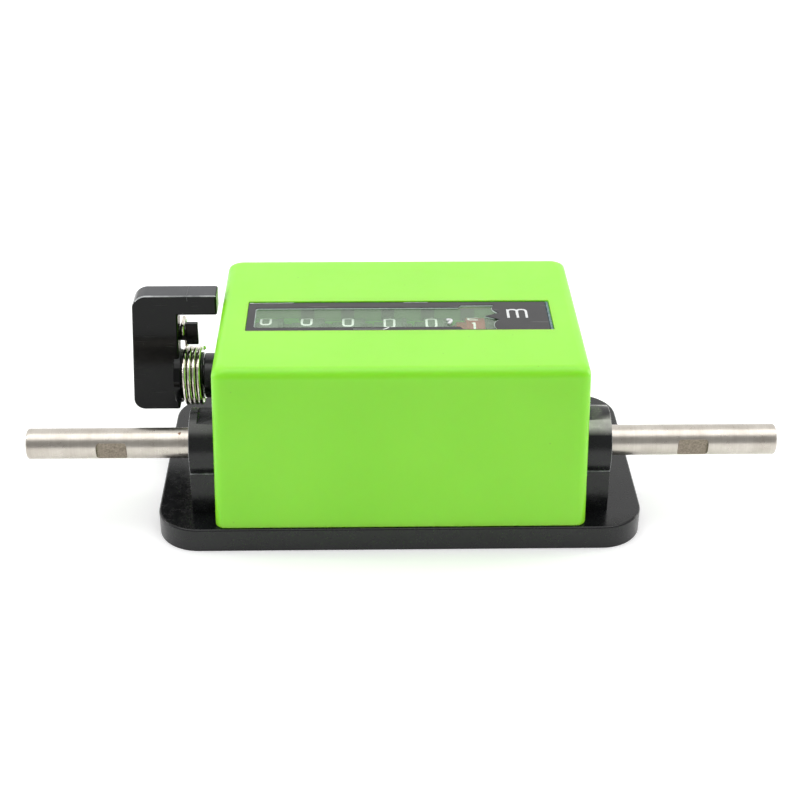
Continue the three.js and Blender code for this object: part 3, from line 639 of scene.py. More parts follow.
MATERIAL = {
    "green": green_plastic(),
    # The base's pedestals get a painted highlight on their shoulders.
    "base": black_plastic("base_plastic", srgb(12, 13, 14), srgb(20, 21, 23), 0.18, 0.32, 0.13, 0.08, 0.42,
                          shoulder_highlight=0.9),
    # The lever gets a painted sheen on faces that look up.
    "lever": black_plastic("lever_plastic", srgb(6, 7, 8), srgb(10, 11, 12), 0.10, 0.18, 0.2, 0.01, 0.22,
                           top_sheen=0.26),
    # Painted highlights: pale greys for the lever's front top edge, its parting line's ridge, and the bosses'
    # rims and ledges.
    "lever_edge_highlight": black_plastic("lever_edge_highlight", srgb(110, 112, 114), srgb(214, 216, 218), 0.2, 0.35, 0.2, 0.02),
    "lever_line_highlight": black_plastic("lever_line_highlight", srgb(58, 60, 62), srgb(104, 106, 108), 0.3, 0.45, 0.2, 0.02),
    "base_edge_highlight": black_plastic("base_edge_highlight", srgb(110, 112, 114), srgb(190, 192, 194), 0.2, 0.4, 0.2, 0.02),
    "frame": black_plastic("frame_plastic", srgb(10, 10, 11), srgb(18, 18, 19), 0.2, 0.34, 0.2),
    "nickel": nickel(),
    "milled": milled(),
    "wire": spring_wire(),
    "bright": machined("bright_steel", srgb(150, 150, 150), srgb(190, 188, 184), 0.3, 0.5),
    "dark_steel": machined("spring_steel", srgb(70, 66, 72), srgb(104, 98, 106), 0.35, 0.5),
    "screw": machined("screw_steel", srgb(140, 142, 146), srgb(178, 178, 176), 0.3, 0.45),
    "bronze": machined("oiled_bronze", srgb(110, 78, 44), srgb(150, 112, 66), 0.35, 0.5),
    "brass": machined("gear_brass", srgb(170, 136, 70), srgb(206, 172, 100), 0.25, 0.4),
    "acetal": wheel_plastic("white_acetal", srgb(206, 203, 192), srgb(226, 223, 214)),
    # The rear tie rod is coloured green and glows, and the comb glows between its leaves: painted light from
    # the cover's green wall.
    "rod_glow": leaked_light("rod_green_glow", srgb(30, 60, 28), srgb(44, 76, 40), False),
    "comb": leaked_light("spring_comb", srgb(30, 28, 32), srgb(48, 44, 50), True),
    # The black wheels' grey-green is partly painted light: the green tint stands in for light leaking in
    # through the cover.
    "black_wheel": wheel_plastic("black_wheel", srgb(80, 92, 80), srgb(100, 112, 98)),
    "red_wheel": wheel_plastic("red_wheel", srgb(166, 24, 20), srgb(188, 32, 28)),
    # The numerals glow a little: painted light on top of the lit ink.
    "numeral": printed("numeral_ink", srgb(240, 240, 238), srgb(252, 252, 250), glow=0.3),
    "film": mask_film(),
    "film_ink": printed("film_ink", srgb(190, 192, 192), srgb(226, 228, 228), (0.2, 0.35)),
    # A pale strip that glows round the clear field: painted light over the shade at the film's edge.
    "rim_glow": printed("film_rim_glow", srgb(120, 132, 128), srgb(170, 184, 176), (0.3, 0.4), 0.3),
    "pane": clear_pane(),
    "pane_rim": pane_rim(),
    "floor": floor_paint(),
}


# ---------------------------------------------------------------- cover
COVER = {"foot_drop": 0.22, "top_width": 94, "top_depth": 64.6, "corner": 2.6, "fillet": 2.8, "lip": 0.2,
         "wall": 2.0, "ceiling": 2.4, "inner_corner": 1}
WINDOW = {"half": 39.78, "front": -10.88, "back": 5.78, "recess": 1.7, "rim": 0.14, "corner": 0.3,
          "light_left": -38.6, "light_right": 28, "light_front": -10.2, "light_back": 5.55}
BOSS_SLOT = 9.5
HUB_SLOT = 7.0
HOUSING = "housing"


def rectangle(width, depth, corner, z, centre=(0, 0), steps=10):
    """A ring of points: a rectangle with round corners, flat at height z."""
    x, y = width / 2 - corner, depth / 2 - corner
    points = []
    for i, (sx, sy) in enumerate(((1, 1), (-1, 1), (-1, -1), (1, -1))):
        points += arc(centre[0] + sx * x, centre[1] + sy * y, corner, 90 * i, 90 * i + 90, steps)
    return [(px, py, z) for px, py in points]


def quarter(radius, steps=3):
    """A quarter round from its foot to its head, as (inset, rise) from the wall and from the foot."""
    turns = [radians(90 * i / steps) for i in range(steps + 1)]
    return [(radius * (1 - sin(t)), radius * (1 - cos(t))) for t in turns]


def cover_rings():
    """From the outer foot up, over the fillet, in through the window, and down the inner walls."""
    low, high = span("cover")
    foot, top = low[2] - COVER["foot_drop"], high[2]
    width, depth = high[0] - low[0], high[1] - low[1]
    top_width, top_depth, corner, fillet = (COVER[k] for k in ("top_width", "top_depth", "corner", "fillet"))
    rings = []
    for inset, rise in quarter(COVER["lip"]):
        rings.append(rectangle(width - 2 * inset, depth - 2 * inset, corner, foot + rise))
    for i in range(11):
        turn = radians(9 * i)
        inset = fillet * (1 - cos(turn))
        height = top - fillet * (1 - sin(turn))
        rings.append(rectangle(top_width - 2 * inset, top_depth - 2 * inset, corner, height))
    centre = (0, (WINDOW["front"] + WINDOW["back"]) / 2)
    wide, deep, tight = 2 * WINDOW["half"], WINDOW["back"] - WINDOW["front"], WINDOW["corner"]
    for outset, drop in quarter(WINDOW["rim"]):
        rings.append(rectangle(wide + 2 * outset, deep + 2 * outset, tight + outset, top - drop, centre))
    ledge, ceiling = top - WINDOW["recess"], top - COVER["ceiling"]
    rings.append(rectangle(wide, deep, tight, ledge, centre))
    left, right, front, back = (WINDOW[f"light_{k}"] for k in ("left", "right", "front", "back"))
    light = ((left + right) / 2, (front + back) / 2)
    for height in (ledge, ceiling):
        rings.append(rectangle(right - left, back - front, tight, height, light))
    wall, inner = 2 * COVER["wall"], COVER["inner_corner"]
    rings.append(rectangle(top_width - wall, top_depth - wall, inner, ceiling))
    rings.append(rectangle(width - wall, depth - wall, inner, foot))
    return rings


def slot_tool(name, axis, radius, start, end, foot):
    """An arched slot, open at the cover's foot."""
    y, z = axis
    outline = [(y + radius, foot - 1)] + arc(y, z, radius, 0, 180, 40) + [(y - radius, foot - 1)]
    return along_x(name, outline, start, end)


def make_cover():
    foot = span("cover")[0][2]
    cover = skin("green_cover", cover_rings(), looped=True)
    tools = [
        slot_tool("left_boss_slot", SHAFT_AXIS, BOSS_SLOT, -50, -40, foot),
        slot_tool("right_boss_slot", SHAFT_AXIS, BOSS_SLOT, 40, 50, foot),
        slot_tool("hub_slot", RESET_AXIS, HUB_SLOT, -50, -40, foot),
    ]
    boolean(cover, "DIFFERENCE", *tools)
    placed(cover, MATERIAL["green"], HOUSING, "green_cover", ["cover"])


# ---------------------------------------------------------------- base plate with its bearing bosses
BOSS = {"radius": 9.2, "half_block": 8.6, "block_top": 18.7, "land_top": 31.6, "rim": 2.4, "inner": 46.6,
        "end": 54.4, "bore": 4.4, "mouth": 5.9, "mouth_depth": 0.5, "edge": 0.35}
PLATE = {"corner": 11, "height": 6.6, "edge": 0.55, "foot_edge": 0.4}


def make_boss(side):
    """A bearing boss: a round head on a straight block, a land cut into its top, and a raised rim outside."""
    y, z = SHAFT_AXIS
    radius, half, end = BOSS["radius"], BOSS["half_block"], BOSS["end"]
    reach = degrees(asin((BOSS["block_top"] - z) / radius))
    foot = PLATE["height"] - 1
    outline = ([(y + half, foot), (y + half, BOSS["block_top"])] + arc(y, z, radius, reach, 180 - reach, 64)
               + [(y - half, BOSS["block_top"]), (y - half, foot)])
    boss = rounded(along_x("boss", outline, *sorted((side * BOSS["inner"], side * end))), BOSS["edge"], 3, 25)
    reach_in, reach_out, top = BOSS["inner"] - 2, end - BOSS["rim"], BOSS["land_top"]
    clear = top + 5
    if side < 0:
        outer = -reach_out - 0.4
        section = [(outer, top - 0.35), (-reach_in, top + 0.75), (-reach_in, clear), (outer, clear)]
    else:
        outer = reach_out + 0.2
        section = [(reach_in, top - 0.1), (reach_out - 2.6, top - 0.1), (outer, top + 0.7), (outer, clear),
                   (reach_in, clear)]
    land = along_y("land", section, y - radius, y + radius)
    bore = rod("bore", *sorted((side * (BOSS["inner"] - 1), side * (end + 1))), BOSS["bore"], SHAFT_AXIS, 64)
    deep = end - BOSS["mouth_depth"]
    mouth_ends = sorted([(side * deep, BOSS["bore"]), (side * (end + 1), BOSS["mouth"])])
    mouth = lathe("mouth", mouth_ends, SHAFT_AXIS, 64)
    return boolean(boss, "DIFFERENCE", land, bore, mouth)


def make_base():
    high = span("base_plate")[1]
    width, depth, corner = 2 * high[0], 2 * high[1], PLATE["corner"]
    edge = quarter(PLATE["edge"], 4)
    share = PLATE["foot_edge"]
    levels = ([(share * inset, share * rise) for inset, rise in edge]
              + [(inset, PLATE["height"] - rise) for inset, rise in reversed(edge)])
    plate = skin("base_casting", [rectangle(width - 2 * inset, depth - 2 * inset, corner - inset, z, steps=20)
                                  for inset, z in levels])
    boolean(plate, "UNION", make_boss(-1), make_boss(1))
    placed(plate, MATERIAL["base"], HOUSING, "black_base", ["base_plate"])

    def worn(normal, centre):
        """Painted highlights: the rims of the bosses' outer ends and the ledges where their round heads meet
        the blocks.
        """
        outer = abs(centre.x) > BOSS["end"] - BOSS["edge"] - 0.01 and centre.z > SHAFT_AXIS[1] - 8
        rim = outer and 0.3 < abs(normal.x) < 0.95
        ledge = normal.z > 0.3 and normal.y < 0 and abs(centre.z - BOSS["block_top"]) < 0.3
        return abs(centre.x) > 46 and centre.z > PLATE["height"] + 2 and (rim or ledge)

    edged(plate, MATERIAL["base_edge_highlight"], worn)


# ---------------------------------------------------------------- shaft
SHAFT = {"bevel": 0.45, "centre_radius": 0.95, "centre_depth": 1.1}
# The milled flats: where each starts along X, the run of its round ends, and how far (degrees) it looks down.
FLAT = {"length": 8, "depth": 0.8, "left": -78.9, "right": 72.4, "run": 0.75, "tilt": 6}


def flat_tool(start, radius):
    """What the cutter takes away for one flat, square to the direction that the flat faces."""
    tilt = radians(FLAT["tilt"])
    end, run, depth = start + FLAT["length"], FLAT["run"], FLAT["depth"]
    curve = [(run * (1 - cos(radians(15 * i))), radius - depth * sin(radians(15 * i)))
             for i in range(7)]
    outline = [(start, 8)] + [(start + x, out) for x, out in curve]
    outline += [(end - x, out) for x, out in reversed(curve)] + [(end, 8)]
    tool = skin("flat_cut", [[(x, SHAFT_AXIS[0] - out * cos(tilt) - across * sin(tilt),
                               SHAFT_AXIS[1] - out * sin(tilt) + across * cos(tilt))
                              for x, out in outline] for across in (-6, 6)])
    tool.data.materials.append(MATERIAL["milled"])
    return tool


def make_shaft():
    low, high = span("main_shaft")
    radius = (high[1] - low[1]) / 2
    left, right, bevel = low[0], high[0], SHAFT["bevel"]
    profile = [(left + SHAFT["centre_depth"], 0.25), (left, SHAFT["centre_radius"]), (left, radius - bevel),
               (left + bevel * 0.3, radius - bevel * 0.35), (left + bevel, radius), (right - bevel, radius),
               (right - bevel * 0.3, radius - bevel * 0.35), (right, radius - bevel),
               (right, SHAFT["centre_radius"]), (right - SHAFT["centre_depth"], 0.25)]
    shaft = lathe("drive_shaft_turned", profile, SHAFT_AXIS, 128)
    shaft.data.materials.append(MATERIAL["nickel"])
    boolean(shaft, "DIFFERENCE", *[flat_tool(FLAT[side], radius) for side in ("left", "right")])
    tilt = radians(FLAT["tilt"])
    facing = Vector((0, -cos(tilt), -sin(tilt)))
    axis = Vector((0, *SHAFT_AXIS))

    def on_flat(spot):
        """Inside the length of a flat, beyond its depth and under the shaft's round face."""
        within = any(-0.01 < spot.x - FLAT[side] < FLAT["length"] + 0.01 for side in ("left", "right"))
        away = spot - axis
        return within and away.dot(facing) > radius - FLAT["depth"] - 0.01 and away.yz.length < radius - 0.02

    picked = [int(on_flat(face.center / MM)) for face in shaft.data.polygons]
    placed(shaft, MATERIAL["nickel"], "drive_shaft", "nickel_shaft", ["main_shaft"], 25)
    shaft.data.materials.append(MATERIAL["milled"])
    shaft.data.polygons.foreach_set("material_index", picked)


# ---------------------------------------------------------------- reset lever
LEVER = {"front": 7.5, "back": 14, "top": 53.04, "bottom": 18.05, "bar_bottom": 47.2, "bar_end": -48.6,
         "left_top": -71.3, "left_bottom": -72.9, "right_top": -59.2, "right_bottom": -60.3, "edge": 0.55,
         "top_corner": 4, "foot_corner": 3}
LEVER_HUB = {"radius": 6.4, "end": -53.3, "flange": 7.4, "flange_end": -59.25, "bore": 2.6, "bore_end": -66.8}
SEAM = {"middle": -56.4, "half": 0.07, "raise": 0.06}


def seam_section():
    """The parting line's strip, as (y, z): up the front of the lever's bar and over its top."""
    front, top, out, end = LEVER["front"], LEVER["top"], SEAM["raise"], LEVER["back"] - 0.6
    outside = [(front - out, top - 1.6), (front - out, top - 0.5), (front + 0.5, top + out), (end, top + out)]
    inside = [(end, top - 0.3), (front + 0.7, top - 0.3), (front + 0.3, top - 0.7), (front + 0.3, top - 1.6)]
    return outside + inside


def disc(name, start, end, radius, edge):
    """A turned disc on the lever's axis with rounded edges."""
    return rounded(rod(name, start, end, radius, RESET_AXIS, 72), edge, 2, 40)


def make_lever():
    size, hub = LEVER, LEVER_HUB
    top, bottom, upper, lower = size["top"], size["bottom"], size["top_corner"], size["foot_corner"]
    outline = (arc(size["left_top"] + upper, top - upper, upper, 180, 90, 12)
               + [(size["bar_end"], top), (size["bar_end"], size["bar_bottom"]),
                  (size["right_top"], size["bar_bottom"]), (size["right_bottom"], bottom)]
               + arc(size["left_bottom"] + lower, bottom + lower, lower, 270, 180, 10))
    slab = rounded(along_y("lever_moulding", outline, size["front"], size["back"]), size["edge"], 4, 40)
    inner = size["right_bottom"] - 0.8
    barrel = disc("hub", inner, hub["end"], hub["radius"], 0.25)
    flange = disc("flange", inner, hub["flange_end"], hub["flange"], 0.2)
    bridge = rounded(block("bridge", (inner + 0.3, 12.4, 37), (-57, 15, 40.4)), 0.25, 2)
    tab = rounded(block("tab", (-57.9, 12, 35.9), (-54.6, 13.8, 42.2)), 0.3, 3)
    boolean(slab, "UNION", barrel, flange, bridge, tab)
    boolean(slab, "DIFFERENCE", rod("rod_bore", hub["bore_end"], hub["end"] + 1, hub["bore"], RESET_AXIS))
    placed(slab, MATERIAL["lever"], "reset", "black_lever", ["reset_lever"])
    # Painted highlight: the front top edge of the lever's bar gets a pale grey.
    edged(slab, MATERIAL["lever_edge_highlight"], lambda n, c: n.y < -0.35 and n.z > 0.35 and c.z > top - 4.5)
    # The parting line's raised strip, in a mid grey: a painted highlight on its ridge.
    middle, half = SEAM["middle"], SEAM["half"]
    line = along_x("lever_parting_line", seam_section(), middle - half, middle + half)
    placed(line, MATERIAL["lever_line_highlight"], "reset", "black_lever")


# ---------------------------------------------------------------- torsion spring
SPRING = {"mean": 7.65, "wire": 0.54, "left": -58.7, "turns": 4, "pitch": 1.35, "leg": 14.6, "bend": 1.3,
          "hook": 0.9, "lean": 0.055}
SPRING["length"] = SPRING["pitch"] * (SPRING["turns"] - 0.3)


def spring_path():
    """From its hook over the lever's bridge down to the hub, round it, and on to the frame's anchor."""
    y, z = RESET_AXIS
    mean, left, turns, bend, hook = (SPRING[k] for k in ("mean", "left", "turns", "bend", "hook"))
    back, top = y + mean - 0.3, z + SPRING["leg"]
    points = [(left, 11.6, top - 2.4), (left, 11.6, top - 1.6)]
    points += [(left, py, pz) for py, pz in arc(12.5, top - hook, hook, 180, 90, 6)]
    points += [(left, py, pz) for py, pz in arc(back - bend, top - bend, bend, 90, 0, 8)]
    drop = SPRING["leg"] - bend - 1
    points += [(left, back + 0.3 * i / 10, top - bend - drop * i / 10) for i in range(1, 11)]
    steps = int(turns * 48)
    total = -2 * pi * (turns - 0.12)
    for i in range(1, steps + 1):
        turn = total * i / steps
        along = left + SPRING["length"] * i / steps - SPRING["lean"] * mean * sin(turn)
        points.append((along, y + mean * cos(turn), z + mean * sin(turn)))
    last = points[-1]
    points += [(last[0] + 0.25 * i, last[1] - 0.05 * i * i, last[2] + 0.25 * i) for i in range(1, 3)]
    return [Vector(p) for p in points]


def tube(name, path, radius, sides=12):
    """A round wire along a path, its frame carried along without twist."""
    last = len(path) - 1
    tangents = [(path[min(i + 1, last)] - path[max(i - 1, 0)]).normalized() for i in range(last + 1)]
    side = tangents[0].orthogonal().normalized()
    rings = []
    for point, tangent in zip(path, tangents):
        side = (side - side.dot(tangent) * tangent).normalized()
        other = tangent.cross(side)
        turns = [2 * pi * k / sides for k in range(sides)]
        rings.append([point + radius * (cos(t) * side + sin(t) * other) for t in turns])
    return skin(name, rings)


def make_spring():
    spring = tube("torsion_spring_wire", spring_path(), SPRING["wire"])
    placed(spring, MATERIAL["wire"], None, "nickel_spring", ["torsion_spring"], 60)
    y, z = RESET_AXIS
    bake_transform(spring)


# ---------------------------------------------------------------- left frame's hub outside the cover
HUB = {"radius": 6.2, "end": -53, "anchor_to": -48.4, "bore": 2.8}
FRAME = {"outer": -44.6, "inner": -42.4, "front": -8.4, "back": 24, "shoulder": 44, "top": 47, "chamfer": 3}


def make_frame_hub():
    """The left frame: its plate and foot inside the cover, its round hub and the spring's anchor outside."""
    z = RESET_AXIS[1]
    foot_level = span("left_frame")[0][2]
    front, back, shoulder, top, chamfer = (FRAME[k] for k in ("front", "back", "shoulder", "top", "chamfer"))
    outline = [(front, foot_level), (back, foot_level), (back, shoulder), (back - chamfer, top),
               (front + chamfer, top), (front, shoulder)]
    frame_plate = rounded(along_x("left_frame_moulding", outline, FRAME["outer"], FRAME["inner"]), 0.3, 2)
    hub = rounded(rod("hub", HUB["end"], -44, HUB["radius"], RESET_AXIS, 72), 0.3, 3, 40)
    anchor = rounded(block("anchor", (HUB["end"], 12, z - 1), (HUB["anchor_to"], 15.5, 31.4)), 0.2, 2)
    foot = rounded(block("foot", (-44.4, 0, foot_level), (-33.5, 20, foot_level + 3)), 0.3, 2)
    boolean(frame_plate, "UNION", hub, anchor, foot)
    bore = rod("bore", HUB["end"] - 1, -41, HUB["bore"], RESET_AXIS)
    seats = [rod("seat", -44, -41, 2.1, WHEEL_AXIS, 32), rod("seat", -44, -41, 1.4, CARRY_AXIS, 32)]
    boolean(frame_plate, "DIFFERENCE", bore, *seats)
    placed(frame_plate, MATERIAL["frame"], HOUSING, "black_frame", ["left_frame"])


# ---------------------------------------------------------------- strokes: numerals and printed marks
def rounded_path(corners, radius, closed, step=0.3):
    """Points along straight runs joined by round corners."""
    count = len(corners)
    points = []
    for i, corner in enumerate(corners):
        here = Vector(corner)
        if not closed and i in (0, count - 1):
            points.append(here)
            continue
        before = Vector(corners[i - 1]) - here
        after = Vector(corners[(i + 1) % count]) - here
        cut = min(radius, before.length * 0.49, after.length * 0.49)
        start, end = here + before.normalized() * cut, here + after.normalized() * cut
        for k in range(7):
            share = k / 6
            points.append((1 - share) ** 2 * start + 2 * share * (1 - share) * here + share ** 2 * end)
    if closed:
        points.append(points[0].copy())
    dense = [points[0]]
    for a, b in zip(points, points[1:]):
        pieces = max(1, ceil((b - a).length / step))
        dense += [a + (b - a) * (k + 1) / pieces for k in range(pieces)]
    return dense[:-1] if closed else dense


def ribbon(name, path, closed, width, place, top, bottom):
    """A flat stroke of the width given along a path, laid on a surface by place(u, v, height)."""
    count = len(path)
    vertices = []
    for i, point in enumerate(path):
        if closed:
            before, after = path[i - 1], path[(i + 1) % count]
        else:
            before, after = path[max(i - 1, 0)], path[min(i + 1, count - 1)]
        along = (after - before).normalized()
        aside = Vector((-along.y, along.x)) * width / 2
        for offset, height in ((aside, top), (-aside, top), (-aside, bottom), (aside, bottom)):
            spot = point + offset
            vertices.append(place(spot.x, spot.y, height))
    faces = []
    for i in range(count if closed else count - 1):
        a, b = 4 * i, 4 * ((i + 1) % count)
        faces += [(a + k, a + (k + 1) % 4, b + (k + 1) % 4, b + k) for k in range(4)]
    if not closed:
        last = 4 * (count - 1)
        faces += [(0, 1, 2, 3), (last, last + 1, last + 2, last + 3)]
    return mesh_object(name, vertices, faces)


# Strokes of each numeral on a grid from -1 to 1 both ways: (points, closed).
NUMERALS = [
    [([(-1, -1), (1, -1), (1, 1), (-1, 1)], True)],
    [([(-0.2, 0.78), (0.2, 1), (0.2, -1)], False)],
    [([(-1, 0.6), (-1, 1), (1, 1), (1, 0.05), (-1, -0.4), (-1, -1), (1, -1)], False)],
    [([(-1, 0.7), (-1, 1), (1, 1), (1, 0), (-0.3, 0)], False),
     ([(1, 0), (1, -1), (-1, -1), (-1, -0.7)], False)],
    [([(0.5, -1), (0.5, 1), (-1, -0.35), (1, -0.35)], False)],
    [([(1, 1), (-1, 1), (-1, 0.1), (1, 0.1), (1, -1), (-1, -1), (-1, -0.7)], False)],
    [([(1, 0.7), (1, 1), (-1, 1), (-1, -1), (1, -1), (1, 0.1), (-1, 0.1)], False)],
    [([(-1, 1), (1, 1), (-0.2, -1)], False)],
    [([(-1, -1), (1, -1), (1, 1), (-1, 1)], True), ([(-1, 0), (1, 0)], False)],
    [([(-1, -0.7), (-1, -1), (1, -1), (1, 1), (-1, 1), (-1, -0.1), (1, -0.1)], False)],
]
NUMERAL = {"width": 3.15, "height": 5.45, "stroke": 0.62, "corner": 0.95, "raise": 0.05}
WHEEL = {"radius": 10.45, "pitch": 10.9, "first": -35.2, "rim_left": 1.7, "rim_right": 3.4,
         "shoulder_left": 4.1, "bore": 2.3, "hub": 4.2, "shoulder": 9.4, "ring": 1.1, "ring_bore": 6.2,
         "flange": 8.5, "flange_width": 0.9, "edge": 0.14}
# Wheel node, its body, where its numerals stand along X from the wheel's middle, the numeral shown, and how
# far (degrees, towards the back) that numeral stands from the top.
WHEELS = [
    ("wheel_ten_thousands", "ten_thousands_wheel", 0.04, 0, 9.3),
    ("wheel_thousands", "thousands_wheel", -0.09, 0, 7.6),
    ("wheel_hundreds", "hundreds_wheel", -0.07, 0, 4.8),
    ("wheel_tens", "tens_wheel", -0.05, 0, 0.5),
    ("wheel_ones", "ones_wheel", 0.11, 0, 0.0),
    ("wheel_tenths", "tenths_wheel", 0.3, 1, -14.5),
]


def wheel_finish(node):
    """The name of a number wheel's material: the tenths wheel is red and the others are black."""
    return "red_wheel" if node == "wheel_tenths" else "black_wheel"


def make_numerals(index, node, body, offset, shown, lean):
    """Ten numerals round a wheel's rim, laid on its face."""
    radius = WHEEL["radius"]
    middle = WHEEL["first"] + index * WHEEL["pitch"] + offset
    half_width = (NUMERAL["width"] - NUMERAL["stroke"]) / 2
    half_height = (NUMERAL["height"] - NUMERAL["stroke"]) / 2
    strokes = []
    for number, glyph in enumerate(NUMERALS):
        centre = radians(lean + 36 * (number - shown))

        def place(u, v, height, centre=centre):
            turn = centre + v / radius
            reach = radius + height
            y, z = WHEEL_AXIS
            return (middle + u, y + reach * sin(turn), z + reach * cos(turn))

        for layer, (corners, closed) in enumerate(glyph):
            scaled = [(u * half_width, v * half_height) for u, v in corners]
            path = rounded_path(scaled, NUMERAL["corner"], closed)
            top = NUMERAL["raise"] + 0.01 * layer
            strokes.append(ribbon("stroke", path, closed, NUMERAL["stroke"], place, top, -0.15))
    placed(merged(f"numerals_{node}", strokes), MATERIAL["numeral"], body, wheel_finish(node))


def gear_outline(axis, teeth, module, tooth_angle):
    """A spur gear's outline round an axis with a tooth centred at tooth_angle, in radians."""
    pitch = module * teeth / 2
    step = 2 * pi / teeth
    root, tip = pitch - 1.2 * module, pitch + 0.85 * module
    flank = [(root, -0.285), (pitch, -0.235), (tip, -0.115), (tip, 0.115), (pitch, 0.235), (root, 0.285)]
    points = []
    for tooth in range(teeth):
        for radius, share in flank:
            turn = tooth_angle + step * (tooth + share)
            points.append((axis[0] + radius * cos(turn), axis[1] + radius * sin(turn)))
    return points


CARRY = {"module": 0.977, "ring_teeth": 20, "direction": -8}


def make_wheel(index, node, body):
    """A number wheel: hub, flange, shoulder, numeral rim and, on all but the tenths, a carry ring."""
    size = WHEEL
    radius, shoulder, flange, hub, edge = (size[k] for k in ("radius", "shoulder", "flange", "hub", "edge"))
    start = span(node)[0][0]
    centre = size["first"] + index * size["pitch"]
    left, rim, right = centre - size["shoulder_left"], centre - size["rim_left"], centre + size["rim_right"]
    outer = left - size["flange_width"]
    profile = [
        (start, size["bore"]), (start, hub), (outer, hub), (outer, flange), (left, flange),
        (left, shoulder - edge), (left + edge, shoulder), (rim - edge, shoulder), (rim, shoulder + edge),
        (rim, radius - edge), (rim + edge, radius), (right - edge, radius), (right, radius - edge),
        (right, size["bore"]),
    ]
    wheel = lathe(f"{node}_moulding", profile, WHEEL_AXIS, 120, looped=True)
    if node != "wheel_tenths":
        tooth = radians(CARRY["direction"]) + pi / CARRY["ring_teeth"]
        outline = gear_outline(WHEEL_AXIS, CARRY["ring_teeth"], CARRY["module"], tooth)
        ring = rounded(along_x("ring", outline, right - 0.4, right + size["ring"]), 0.08, 1)
        boolean(ring, "DIFFERENCE", rod("bore", right - 1, right + 3, size["ring_bore"], WHEEL_AXIS))
        boolean(wheel, "UNION", ring)
    finish = wheel_finish(node)
    placed(wheel, MATERIAL[finish], body, finish, [node])


# ---------------------------------------------------------------- window: printed film, marks, pane edge
OPENING = {"left": -37.7, "right": 25.2, "front": -8.6, "back": 2.5, "corner": 0.8, "wide_from": 15.85,
           "wide_front": -10, "wide_back": 3.75, "pointer": (22.5, -2.63),
           "spikes": ((26.1, -0.84), (26.1, -4.61))}
FILM = {"short_by": 0.9, "middle": (-6, -3.2), "edge_x": 0.14, "edge_y": 0.22}


def bezier(start, middle, end, steps=8):
    """Points of a curve from start to end, drawn towards middle."""
    a, b, c = Vector(start), Vector(middle), Vector(end)
    shares = [i / steps for i in range(steps + 1)]
    return [tuple((1 - s) ** 2 * a + 2 * s * (1 - s) * b + s ** 2 * c) for s in shares]


def opening_outline():
    """The film's clear field: a slot, wider round the tenths wheel, ending in two waves and a pointer."""
    size = OPENING
    left, right, front, back, corner = (size[k] for k in ("left", "right", "front", "back", "corner"))
    wide, wide_front, wide_back = (size[k] for k in ("wide_from", "wide_front", "wide_back"))
    back_spike, front_spike = size["spikes"]
    outline = arc(left + corner, front + corner, corner, 180, 270, 6)
    outline += bezier((wide - 0.6, front), (wide, front), (wide + 0.1, front - 0.7), 4)
    outline += bezier((wide + 0.2, wide_front + 0.5), (wide + 0.5, wide_front), (wide + 1.2, wide_front), 4)
    outline += [(right - 0.4, wide_front)]
    outline += bezier((right, wide_front + 0.3), (23.6, -7.0), front_spike, 10)
    outline += [size["pointer"]]
    outline += bezier(back_spike, (23.4, 1.6), (right, wide_back), 10)
    outline += [(wide + 0.6, wide_back), (wide - 0.3, back)]
    outline += arc(left + corner, back - corner, corner, 90, 180, 6)
    return outline


def film_edge(outline, level, clear):
    """A pale, faintly glowing rim round the clear field, a little inside its outline: painted light over the
    shade at the film's edge.
    """
    (middle_x, middle_y), edge_x, edge_y = FILM["middle"], FILM["edge_x"], FILM["edge_y"]
    inner = [(x - copysign(edge_x, x - middle_x), y - copysign(edge_y, y - middle_y))
             for x, y in outline]
    rim = along_z("film_rim_glow_edge", outline, level - 0.12, level + 0.1)
    return boolean(rim, "DIFFERENCE", along_z("hole", inner, level - 1, clear))


def make_window():
    low, high = span("window_mask")
    film_right, clear = high[0] - FILM["short_by"], high[2] + 1
    outline = opening_outline()
    film = block("window_film", low, (film_right, high[1], high[2]))
    boolean(film, "DIFFERENCE", along_z("opening", outline, low[2] - 1, clear))
    placed(rounded(film, 0.04, 1), MATERIAL["film"], HOUSING, "mask_print", ["window_mask"])
    # The glowing rim round the clear field is painted light.
    placed(film_edge(outline, low[2], clear), MATERIAL["rim_glow"], HOUSING, "mask_print")
    pane_low, pane_high = span("window_pane")
    pane = rounded(block("clear_sheet", pane_low, pane_high), 0.12, 2)
    placed(pane, MATERIAL["pane"], HOUSING, "clear_pane", ["window_pane"])
    section = [(film_right, pane_high[2]), (high[0], pane_high[2]), (high[0], high[2] - 0.15),
               (film_right + 0.25, high[2])]
    rim = along_y("pane_sawn_edge", section, low[1], high[1])
    placed(rounded(rim, 0.1, 2), MATERIAL["pane_rim"], HOUSING, "clear_pane")
    make_marks(high[2])


